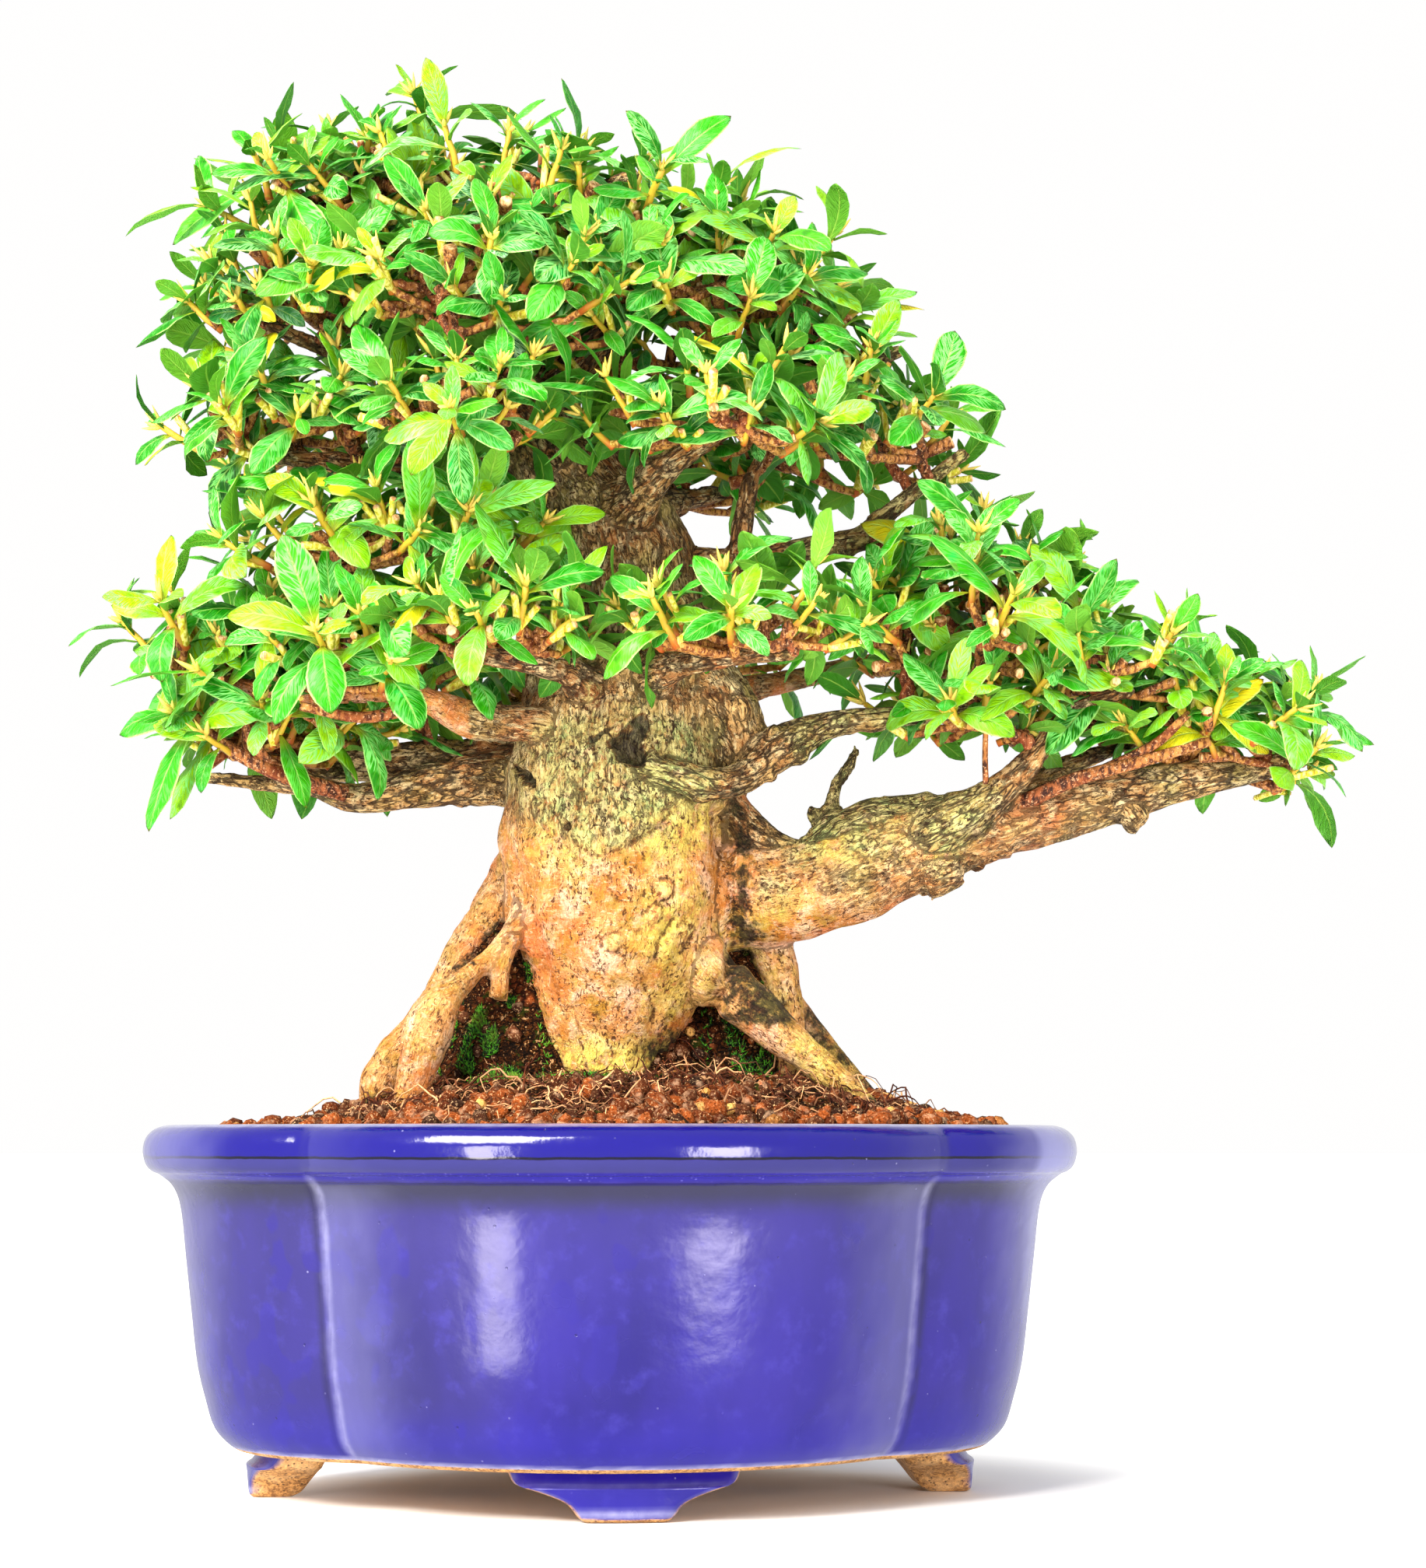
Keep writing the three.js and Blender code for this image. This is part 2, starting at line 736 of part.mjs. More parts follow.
function woodSolid(shoots) {
  let wood = thickLimbs(0)
    .map(solidOf)
    .reduce((whole, limb) => whole.add(limb));
  for (const limb of Object.values(BRANCHES)) {
    const sides = limb[0][3] > 12 ? 8 : 5;
    wood = wood.add(solidOf(tube(limb, sides, 0)));
  }
  for (const shoot of shoots) wood = wood.add(solidOf(stick(twig(shoot), 3)));
  const pieces = wood.decompose();
  return pieces.reduce((a, b) => (a.volume() > b.volume() ? a : b));
}

// The part, assembled

const MATERIALS = {
  glaze: { color: 0x2a22a8, roughness: 0.12, metalness: 0 },
  net: { color: 0x1d1d1f, roughness: 0.6, metalness: 0 },
  soil: { color: 0x7a3f22, roughness: 0.95, metalness: 0 },
  bark: { color: 0xb98a58, roughness: 0.85, metalness: 0 },
  leaf: { color: 0x3f9a3a, roughness: 0.45, metalness: 0 },
};

const part = new THREE.Group();

function addNode(name, solid, material, at = new THREE.Vector3()) {
  const geometry = geometryOf(solid).translate(-at.x, -at.y, -at.z);
  const mesh = new THREE.Mesh(geometry, new THREE.MeshStandardMaterial(MATERIALS[material]));
  mesh.name = name;
  mesh.position.copy(at);
  part.add(mesh);
}

const samples = limbSamples();
const shoots = shootPlan().map((shoot) => rooted(shoot, samples));
const wood = woodSolid(shoots);
addNode("pot", potSolid(), "glaze");
addNode("drain_net_left", netSolid(-DRAIN_X), "net");
addNode("drain_net_right", netSolid(DRAIN_X), "net");
addNode("soil", soilSolid(), "soil");
addNode("trunk_and_branches", wood, "bark");
spraySolids(shoots, wood).forEach(({ solid, base }, n) => {
  addNode("leafy_shoot_" + String(n + 1).padStart(2, "0"), solid, "leaf", base);
});

// The origin is under the middle of the whole part.
const bounds = new THREE.Box3().setFromObject(part);
const middle = bounds.getCenter(new THREE.Vector3());
part.position.set(-middle.x, -middle.y, 0);

export default part;
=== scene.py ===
# %% [markdown]
# # A satsuki azalea bonsai, dressed round its frame
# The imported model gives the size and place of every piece. This script keeps those places and makes
# the surfaces that the eye wants: glaze, clay granules, old bark, twigs and a few thousand leaves.
# All shapes are worked out in millimetres round the middle of the pot, and turned into metres at
# the end.

# %% Start: the frame
import math

import bpy
import numpy as np
from mathutils import Matrix, Vector


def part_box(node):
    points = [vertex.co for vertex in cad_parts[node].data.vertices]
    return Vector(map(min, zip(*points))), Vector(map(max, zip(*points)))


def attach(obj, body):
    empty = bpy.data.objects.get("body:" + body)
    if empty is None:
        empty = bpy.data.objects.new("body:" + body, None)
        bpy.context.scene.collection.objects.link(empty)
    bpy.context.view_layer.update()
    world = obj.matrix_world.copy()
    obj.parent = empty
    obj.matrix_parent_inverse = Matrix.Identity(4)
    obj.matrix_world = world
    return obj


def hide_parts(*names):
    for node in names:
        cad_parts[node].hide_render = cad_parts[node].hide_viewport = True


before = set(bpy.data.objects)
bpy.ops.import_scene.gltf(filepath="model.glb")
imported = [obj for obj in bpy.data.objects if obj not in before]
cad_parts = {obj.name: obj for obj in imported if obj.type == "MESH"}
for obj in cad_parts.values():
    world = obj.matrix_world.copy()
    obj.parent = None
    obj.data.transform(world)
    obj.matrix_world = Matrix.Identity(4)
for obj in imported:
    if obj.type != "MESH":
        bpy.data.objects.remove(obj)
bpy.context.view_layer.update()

pot_low, pot_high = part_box("pot")
POT_MIDDLE = np.array([(pot_low.x + pot_high.x) / 2, (pot_low.y + pot_high.y) / 2, 0.0])
TREE_TURN = math.radians(-4.5)
GOLDEN_ANGLE = math.pi * (3 - math.sqrt(5))


# %% [markdown]
# ## The eye
# The photograph was taken from about the height of the pot's rim, looking slightly up. A long lens
# of 74 mm on a 36 mm frame, 0.94 m away, gives the same converging lines as the picture, so the
# camera needs no shift.

# %% Camera
CAMERA_PLACE = (28.9, -940.0, 98.9)
CAMERA_PITCH = math.radians(6.36)
LENS, FILM_WIDTH = 74.0, 36.0


def turned(points):
    """The same points after the tree's own turn: x cos a - y sin a, x sin a + y cos a, z."""
    points = np.asarray(points, float)
    c, s = math.cos(TREE_TURN), math.sin(TREE_TURN)
    x, y = points[..., 0], points[..., 1]
    return np.stack([x * c - y * s, x * s + y * c, points[..., 2]], -1)


def shown(name, data):
    """A new object in the scene."""
    made = bpy.data.objects.new(name, data)
    bpy.context.scene.collection.objects.link(made)
    return made


camera = shown("camera", bpy.data.cameras.new("camera"))
camera.data.lens = LENS
camera.data.sensor_width = FILM_WIDTH
camera.data.clip_start = 0.01
camera.location = Vector(turned(CAMERA_PLACE) / 1000 + POT_MIDDLE)
camera.rotation_euler = (math.pi / 2 + CAMERA_PITCH, 0, TREE_TURN)
bpy.context.scene.camera = camera
print("camera at", tuple(round(c, 4) for c in camera.location))


# %% [markdown]
# ## Writing shader sums
# A node tree is easier to read as arithmetic. Ink wraps one socket, and its operators add the Math
# nodes. Finish holds one material: node() makes any other node from its type, its settings and its
# inputs.


# %% Ink and Finish
class Ink:
    """One output socket that can be used in sums, such as 1 - mask * 0.5."""

    def __init__(self, finish, socket):
        self.finish, self.socket = finish, socket

    def _sum(self, operation, first, second=0.0):
        return self.finish.node("Math", {"operation": operation}, {0: first, 1: second})

    def __add__(self, other):
        return self._sum("ADD", self, other)

    def __radd__(self, other):
        return self._sum("ADD", other, self)

    def __sub__(self, other):
        return self._sum("SUBTRACT", self, other)

    def __rsub__(self, other):
        return self._sum("SUBTRACT", other, self)

    def __mul__(self, other):
        return self._sum("MULTIPLY", self, other)

    def __rmul__(self, other):
        return self._sum("MULTIPLY", other, self)

    def sine(self):
        return self._sum("SINE", self)

    def size(self):
        return self._sum("ABSOLUTE", self)

    def least(self, other):
        return self._sum("MINIMUM", self, other)

    def most(self, other):
        return self._sum("MAXIMUM", self, other)

    def between(self, low, high):
        """0 at or below low, 1 at or above high, eased in between; low may be the larger one."""
        settings = {"interpolation_type": "SMOOTHSTEP"}
        if low > high:
            return 1 - self.between(high, low)
        ends = {"Value": self, "From Min": low, "From Max": high}
        return self.finish.node("MapRange", settings, ends)


def tint(code):
    """A colour as linear light from its usual six hex digits."""
    parts = [int(code[i : i + 2], 16) / 255 for i in (0, 2, 4)]
    return tuple(p / 12.92 if p <= 0.04045 else ((p + 0.055) / 1.055) ** 2.4 for p in parts) + (1.0,)


class Finish:
    """One material round a Principled shader."""

    def __init__(self, name, **constants):
        self.material = bpy.data.materials.new(name)
        self.material.use_nodes = True
        self.tree = self.material.node_tree
        self.skin = self.tree.nodes["Principled BSDF"]
        for socket, value in constants.items():
            self.skin.inputs[socket.replace("_", " ")].default_value = value

    def node(self, kind, settings=(), inputs=(), out=0):
        """A new node, as Ink on its output out. An input is an Ink, which is linked, or a constant."""
        made = self.tree.nodes.new("ShaderNode" + kind)
        for key, value in dict(settings).items():
            setattr(made, key, value)
        for key, value in dict(inputs).items():
            if isinstance(value, Ink):
                self.tree.links.new(value.socket, made.inputs[key])
            else:
                made.inputs[key].default_value = value
        return Ink(self, made.outputs[out])

    def wear(self, **inputs):
        """Links Inks to inputs of the Principled shader."""
        for socket, value in inputs.items():
            self.tree.links.new(value.socket, self.skin.inputs[socket.replace("_", " ")])

    def place(self, stretch=(1, 1, 1)):
        """Object coordinates in millimetres, stretched along each axis."""
        return self.stretched(self.node("TexCoord", out=3), [1000 * s for s in stretch])

    def stretched(self, at, by):
        """A place with each of its three numbers multiplied."""
        return self.node("VectorMath", {"operation": "MULTIPLY"}, {0: at, 1: tuple(by)})

    def trait(self, name, out=2):
        """A number, or with out=1 a vector, that the mesh carries at its points."""
        return self.node("Attribute", {"attribute_name": name}, out=out)

    def parts(self, vector):
        """The three numbers of a vector."""
        split = self.node("SeparateXYZ", inputs={0: vector}).socket.node
        return [Ink(self, split.outputs[i]) for i in range(3)]

    def clouds(self, at, size, detail=2.0, roughness=0.5, distortion=0.0):
        """Soft noise from 0 to 1 whose blots are about size across."""
        values = {"Scale": 1 / size, "Detail": detail, "Roughness": roughness, "Distortion": distortion}
        return self.node("TexNoise", {"normalize": True}, {"Vector": at, **values})

    def cells(self, at, size, feature="F1", out=0):
        """Distance to, or with out=1 the colour of, the nearest of scattered spots about size apart."""
        return self.node("TexVoronoi", {"feature": feature}, {"Vector": at, "Scale": 1 / size}, out)

    def stirred(self, at, size, reach):
        """The place moved along each axis by up to reach, by noise of that size."""
        values = {"Vector": at, "Scale": 1 / size, "Detail": 3.0}
        noise = self.node("TexNoise", {"normalize": True}, values, out=1)
        moved = {0: noise, 1: (reach, reach, reach), 2: at}
        return self.node("VectorMath", {"operation": "MULTIPLY_ADD"}, moved)

    def mix(self, mask, first, second):
        """From the first colour to the second as mask goes
        from 0 to 1; six hex digits stand for a tint."""
        first, second = (tint(c) if isinstance(c, str) else c for c in (first, second))
        return self.node("Mix", {"data_type": "RGBA"}, {0: mask, 6: first, 7: second}, out=2)

    def coats(self, body, *layers):
        """Colours laid over body in turn; a layer is the mask that says where, and its colour."""
        for mask, colour in layers:
            body = self.mix(mask, body, colour)
        return body

    def relief(self, height, depth, strength=1.0, under=None):
        """A bump: height from 0 to 1 stands for depth in millimetres."""
        inputs = {"Height": height, "Distance": depth / 1000, "Strength": strength}
        if under is not None:
            inputs["Normal"] = under
        return self.node("Bump", inputs=inputs)


# %% [markdown]
# ## Surfaces from numbers
# Every new piece is a grid of points. weave joins the points of one grid, or of many grids of one
# size, into faces, piece puts them into a mesh, and lumps is a repeatable noise that is used
# wherever a surface is uneven.


# %% Grids, noise and meshes
def weave(rows, columns, copies=1):
    """Faces between neighbours: (row, column), (row, column + 1),
    (row + 1, column + 1), (row + 1, column)."""
    r = np.arange(rows - 1)[:, None]
    c = np.arange(columns)[None, :]
    after = (c + 1) % columns
    row, below = r * columns, (r + 1) * columns
    quads = np.stack([row + c, row + after, below + after, below + c], -1)
    quads = quads.reshape(1, -1, 4) + (np.arange(copies) * rows * columns)[:, None, None]
    return quads.reshape(-1, 4)


def shut(rings, first, last):
    """Rings woven into a skin, with a fan to a point at each end: points, quads and triangles."""
    rows, columns = rings.shape[:2]
    count = rows * columns
    j = np.arange(columns)
    top = count - columns
    low = np.stack([np.full(columns, count), (j + 1) % columns, j], -1)
    high = np.stack([np.full(columns, count + 1), top + j, top + (j + 1) % columns], -1)
    points = np.concatenate([rings.reshape(-1, 3), [first, last]])
    return points, weave(rows, columns), np.concatenate([low, high])


def joined(shapes):
    """Several (points, quads, triangles) as one."""
    steps = np.cumsum([0] + [len(s[0]) for s in shapes[:-1]])
    quads, triangles = (np.concatenate([s[k] + step for s, step in zip(shapes, steps)]) for k in (1, 2))
    return np.concatenate([s[0] for s in shapes]), quads, triangles


def lumps(points, size, seed=0):
    """Noise from -1 to 1: random numbers at the corners
    of cubes of that size, eased from corner to corner."""
    at = np.asarray(points, float) / size + 1000
    low = np.floor(at).astype(np.int64)
    share = at - low
    share = share * share * (3 - 2 * share)
    total = np.zeros(at.shape[:-1])
    for corner in range(8):
        step = np.array([corner & 1, corner >> 1 & 1, corner >> 2])
        x, y, z = np.moveaxis(low + step, -1, 0)
        key = (x * 374761393 + y * 668265263 + z * 1440662683 + seed * 1274126177) & 0xFFFFFFFF
        key = ((key ^ (key >> 13)) * 1274126177) & 0xFFFFFFFF
        weight = np.where(step == 1, share, 1 - share).prod(-1)
        total += weight * ((key ^ (key >> 16)) & 0xFFFF) / 65535
    return 2 * total - 1


def ease(t):
    """0 below 0, 1 above 1, and 3 t t - 2 t t t between."""
    t = np.clip(t, 0, 1)
    return t * t * (3 - 2 * t)


def unit(v):
    """v / |v|."""
    return v / np.maximum(np.linalg.norm(v, axis=-1, keepdims=True), 1e-9)


def around(angle, side, across):
    """Directions cos a side + sin a across, with the angles on an axis of their own before x, y, z."""
    side, across = side[..., None, :], across[..., None, :]
    return np.cos(angle)[..., None] * side + np.sin(angle)[..., None] * across


def as_mesh(name, points, faces, uv=None, creases=None):
    """A mesh in metres from points in mm. faces is a list
    of arrays, uv a list of arrays with a pair a corner."""
    mesh = bpy.data.meshes.new(name)
    points = np.asarray(points, float).reshape(-1, 3) / 1000 + POT_MIDDLE
    faces = [np.asarray(f, np.int64) for f in faces]
    loops = np.concatenate([f.ravel() for f in faces])
    sizes = np.concatenate([np.full(len(f), f.shape[1]) for f in faces])
    starts = np.concatenate([[0], np.cumsum(sizes)[:-1]])
    mesh.vertices.add(len(points))
    mesh.vertices.foreach_set("co", points.astype(np.float32).ravel())
    mesh.loops.add(len(loops))
    mesh.loops.foreach_set("vertex_index", loops.astype(np.int32))
    mesh.polygons.add(len(starts))
    mesh.polygons.foreach_set("loop_start", starts.astype(np.int32))
    if uv is not None:
        layer = mesh.uv_layers.new(name="UVMap")
        pairs = np.concatenate([np.asarray(u, np.float32).reshape(-1, 2) for u in uv])
        layer.data.foreach_set("uv", pairs.ravel())
    mesh.update(calc_edges=True)
    mesh.polygons.foreach_set("use_smooth", np.ones(len(starts), bool))
    if creases is not None:
        ends = np.empty(len(mesh.edges) * 2, np.int32)
        mesh.edges.foreach_get("vertices", ends)
        sharp = mesh.attributes.new("sharp_edge", "BOOLEAN", "EDGE")
        sharp.data.foreach_set("value", creases(ends.reshape(-1, 2)))
    return mesh


def set_trait(mesh, trait, values):
    """A number or a triple for every point of a mesh, which a material can read by name."""
    values = np.asarray(values, np.float32)
    wide = values.ndim == 2
    layer = mesh.attributes.new(trait, "FLOAT_VECTOR" if wide else "FLOAT", "POINT")
    layer.data.foreach_set("vector" if wide else "value", values.ravel())


def piece(name, mesh, finish, replaced=()):
    """Puts a mesh on show: it rides on the one body and
    takes the place of the CAD nodes it stands for."""
    made = shown(name, mesh)
    mesh.materials.append(finish.material)
    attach(made, "root")
    if replaced:
        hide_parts(*replaced)


def points_of(mesh):
    """The mesh's points in mm round the middle of the pot."""
    flat = np.empty(len(mesh.vertices) * 3, np.float32)
    mesh.vertices.foreach_get("co", flat)
    return (flat.reshape(-1, 3).astype(float) - POT_MIDDLE) * 1000


def normals_of(mesh):
    """The mesh's normals at its points."""
    flat = np.empty(len(mesh.vertices) * 3, np.float32)
    mesh.vertex_normals.foreach_get("vector", flat)
    return flat.reshape(-1, 3).astype(float)


def applied(mesh, *modifiers):
    """The mesh after modifiers, given as (type, settings), have been applied to it."""
    holder = shown("holder", mesh)
    for kind, settings in modifiers:
        modifier = holder.modifiers.new(kind, kind)
        for key, value in settings.items():
            setattr(modifier, key, value)
    depsgraph = bpy.context.evaluated_depsgraph_get()
    result = bpy.data.meshes.new_from_object(holder.evaluated_get(depsgraph), depsgraph=depsgraph)
    bpy.data.objects.remove(holder)
    return result


def smooth_run(stops, steps):
    """A curve through all the stops, with the slope at
    each from its neighbours (Catmull-Rom, centripetal)."""
    stops = np.asarray(stops, float)
    first = 2 * stops[:1] - stops[1:2]
    last = 2 * stops[-1:] - stops[-2:-1]
    p = np.concatenate([first, stops, last])
    gap = np.sqrt(np.maximum(np.linalg.norm(np.diff(p[:, : min(3, p.shape[1])], axis=0), axis=1), 1e-6))
    g0, g1, g2 = gap[:-2, None, None], gap[1:-1, None, None], gap[2:, None, None]
    p0, p1, p2, p3 = (p[i : len(p) - 3 + i, None, :] for i in range(4))
    s1 = ((p1 - p0) / g0 - (p2 - p0) / (g0 + g1) + (p2 - p1) / g1) * g1
    s2 = ((p2 - p1) / g1 - (p3 - p1) / (g1 + g2) + (p3 - p2) / g2) * g1
    t = (np.arange(steps) / steps)[None, :, None]
    a = 2 * p1 - 2 * p2 + s1 + s2
    b = -3 * p1 + 3 * p2 - 2 * s1 - s2
    run = ((a * t + b) * t + s1) * t + p1
    return np.concatenate([run.reshape(-1, p.shape[1]), stops[-1:]])


# %% [markdown]
# ## The pot: one outline, one profile
# A four-lobed pot is thrown or pressed as two wide arcs and two narrow arcs that meet in grooves.
# Here the outline is those arcs, moved outwards by an offset, and the profile is a list of heights
# and offsets from the underside over the wall and lip down to the floor inside. Both together make
# one grid. A row of columns crowds towards the grooves, and a little smoothing there rounds them as
# thick glaze does.

# %% Outline and profile
NOTCH_X, NOTCH_Y = 80.5, 64.0
WALL_HALF_WIDTH, WALL_HALF_DEPTH = 124.0, 101.0


def arc(half, rise, share):
    """A bulging arc over x from -half to half, as (along, out) for shares 0 to 1.
    Its radius is (h h + r r) / 2 r."""
    radius = (half**2 + rise**2) / (2 * rise)
    reach = np.arcsin(np.minimum(half / radius, 1))
    angle = reach * (2 * share - 1)
    return radius * np.sin(angle), radius * (np.cos(angle) - np.cos(reach))


def rounded(line, times):
    """Each point of a closed row moved half way to the mean of its neighbours, times over."""
    for _ in range(times):
        line = line / 2 + (np.roll(line, 1, 1) + np.roll(line, -1, 1)) / 4
    return line


def quatrefoil(offset, wide=72, narrow=56, crowd=0.8, rounding=5):
    """The outline moved out by each offset: wide arc, narrow arc, and both again on the far side."""
    offset = np.atleast_1d(np.asarray(offset, float))[:, None]
    x, y = NOTCH_X + 0.62 * offset, NOTCH_Y + 0.75 * offset
    runs = []
    for count, half, rise in (
        (wide, x, WALL_HALF_DEPTH + offset - y),
        (narrow, y, WALL_HALF_WIDTH + offset - x),
    ):
        share = np.arange(count)[None, :] / count
        share = share - crowd * np.sin(2 * np.pi * share) / (2 * np.pi)
        runs.append(arc(half, rise, share))
    (a, front), (b, right) = runs
    px = np.concatenate([a, x + right, -a, -x - right], 1)
    py = np.concatenate([-y - front, b, y + front, -b], 1)
    return rounded(px, rounding), rounded(py, rounding)


# Each stop is a height and an offset; the number after the list is how many rings a stop gets.
OUTER_PROFILE = smooth_run(
    [
        (13.0, -18), (13.5, -16.2), (14.8, -14.3), (19, -10.5), (27, -7.8), (36, -5.5), (52, -3.4),
        (68, -1.5), (79, -0.2), (84, 1.0), (87.5, 3.0), (89.6, 5.6),
    ],
    4,
)
LIP_PROFILE = smooth_run(
    [
        (90.3, 6.6), (90.9, 8.2), (92.4, 9.9), (95, 10.9), (98, 11.0), (100.6, 10.2), (102.6, 8.3),
        (103.8, 5.4), (104, 2.2), (103.5, -0.8), (102.2, -3.0), (100, -4.7),
    ],
    4,
)
INNER_PROFILE = smooth_run(
    [(98.6, -5.4), (94, -7), (70, -9.6), (40, -12.5), (26, -15.6), (22, -17), (19, -24)],
    3,
)
POT_PROFILE = np.concatenate([OUTER_PROFILE, LIP_PROFILE, INNER_PROFILE])
print("pot profile", len(POT_PROFILE), "rings, grid columns", quatrefoil(0)[0].shape[1])


# %% Pot body
def pot_body():
    """Rings of the outline at every height and offset of
    the profile, shrunk to a point under and inside."""
    px, py = quatrefoil(POT_PROFILE[:, 1])
    rings = np.stack([px, py, np.broadcast_to(POT_PROFILE[:, :1], px.shape)], -1)
    under = [rings[0] * (s, s, 1) for s in (0.25, 0.5, 0.75, 0.92)]
    inside = [rings[-1] * (s, s, 1) for s in (0.92, 0.75, 0.5, 0.25)]
    rings = np.concatenate([under, rings, inside])
    points, *faces = shut(rings, (0, 0, rings[0, 0, 2]), (0, 0, rings[-1, 0, 2]))
    return as_mesh("pot_body", points, faces)


FOOT_PROFILE = [  # height, half width, thickness, setback
    (0, 11.2, 14, 2.6), (0.5, 12, 15, 1.7), (1.4, 13.1, 16.5, 1.25), (4.5, 15.8, 19, 0.95),
    (6.6, 20.4, 20.6, 0.75), (8.2, 25.6, 22, 0.5), (8.9, 28.2, 22.6, 0.5), (9.8, 30.1, 23, 1.8),
    (11.4, 31.1, 24, 3.0), (13, 31.6, 25, 3.6), (15.5, 31.6, 25, 4.5),
]


def foot(reach, radius, scale, turn):
    """Sections of a bracket foot: half width, thickness and
    setback by height, the face bent to the lobe's radius."""
    z, half, thick, setback = smooth_run(FOOT_PROFILE, 3).T[:, :, None]
    face = np.linspace(-1, 1, 21)[None, :]
    side = np.linspace(0, 1, 6)[None, 1:-1]
    along = face * half * scale
    front_y = -(reach - setback - (radius - np.sqrt(radius**2 - along**2)))
    back_x, back_y = -face * half * scale * 0.94, -(reach - thick) + 0 * along
    edge_x = along[:, -1:] + (back_x[:, :1] - along[:, -1:]) * side
    edge_y = front_y[:, -1:] + (back_y[:, :1] - front_y[:, -1:]) * side
    x = rounded(np.concatenate([along, edge_x, back_x, -edge_x[:, ::-1]], 1), 2)
    y = rounded(np.concatenate([front_y, edge_y, back_y, edge_y[:, ::-1]], 1), 2)
    c, s = round(math.cos(turn)), round(math.sin(turn))
    rings = np.stack([x * c - y * s, x * s + y * c, z + 0 * x], -1)
    return shut(rings, *rings[[0, -1]].mean(1))


FOOT_INSET = 19.5
FOOT_PAIRS = [  # how far out the lobe reaches, its radius, scale along the lobe, turn
    (WALL_HALF_DEPTH, 89, 1, 0), (WALL_HALF_WIDTH, 55, 0.85, math.pi / 2),
]
feet = joined(
    [
        foot(half - FOOT_INSET, radius, scale, first + turn)
        for half, radius, scale, first in FOOT_PAIRS
        for turn in (0, math.pi)
    ]
)
print("feet", len(feet[0]), "points")

# %% Drain holes, and the body and feet made one
DRAIN_X, DRAIN_RADIUS = 45.0, 10.0
DRILL_STOPS = (6.0, 16.0, 26.0)
SHARP_ANGLE = math.radians(48)


def drill(x, sides=48):
    """A round bar that goes right through the floor."""
    angle = np.arange(sides) / sides * 2 * np.pi
    ring = np.stack([x + DRAIN_RADIUS * np.cos(angle), DRAIN_RADIUS * np.sin(angle)], -1)
    rings = np.stack([np.column_stack([ring, np.full(sides, z)]) for z in DRILL_STOPS])
    return shut(rings, (x, 0, DRILL_STOPS[0]), (x, 0, DRILL_STOPS[-1]))


feet_holder = shown("feet_holder", as_mesh("feet", feet[0], feet[1:]))
drills = joined([drill(-DRAIN_X), drill(DRAIN_X)])
drill_holder = shown("drill_holder", as_mesh("drills", drills[0], drills[1:]))
pot_mesh = applied(
    pot_body(),
    ("BOOLEAN", {"operation": "UNION", "object": feet_holder, "solver": "EXACT"}),
    ("BOOLEAN", {"operation": "DIFFERENCE", "object": drill_holder, "solver": "EXACT"}),
)
for holder in (feet_holder, drill_holder):
    bpy.data.objects.remove(holder)
pot_mesh.set_sharp_from_angle(angle=SHARP_ANGLE)
print("pot", len(pot_mesh.polygons), "faces")
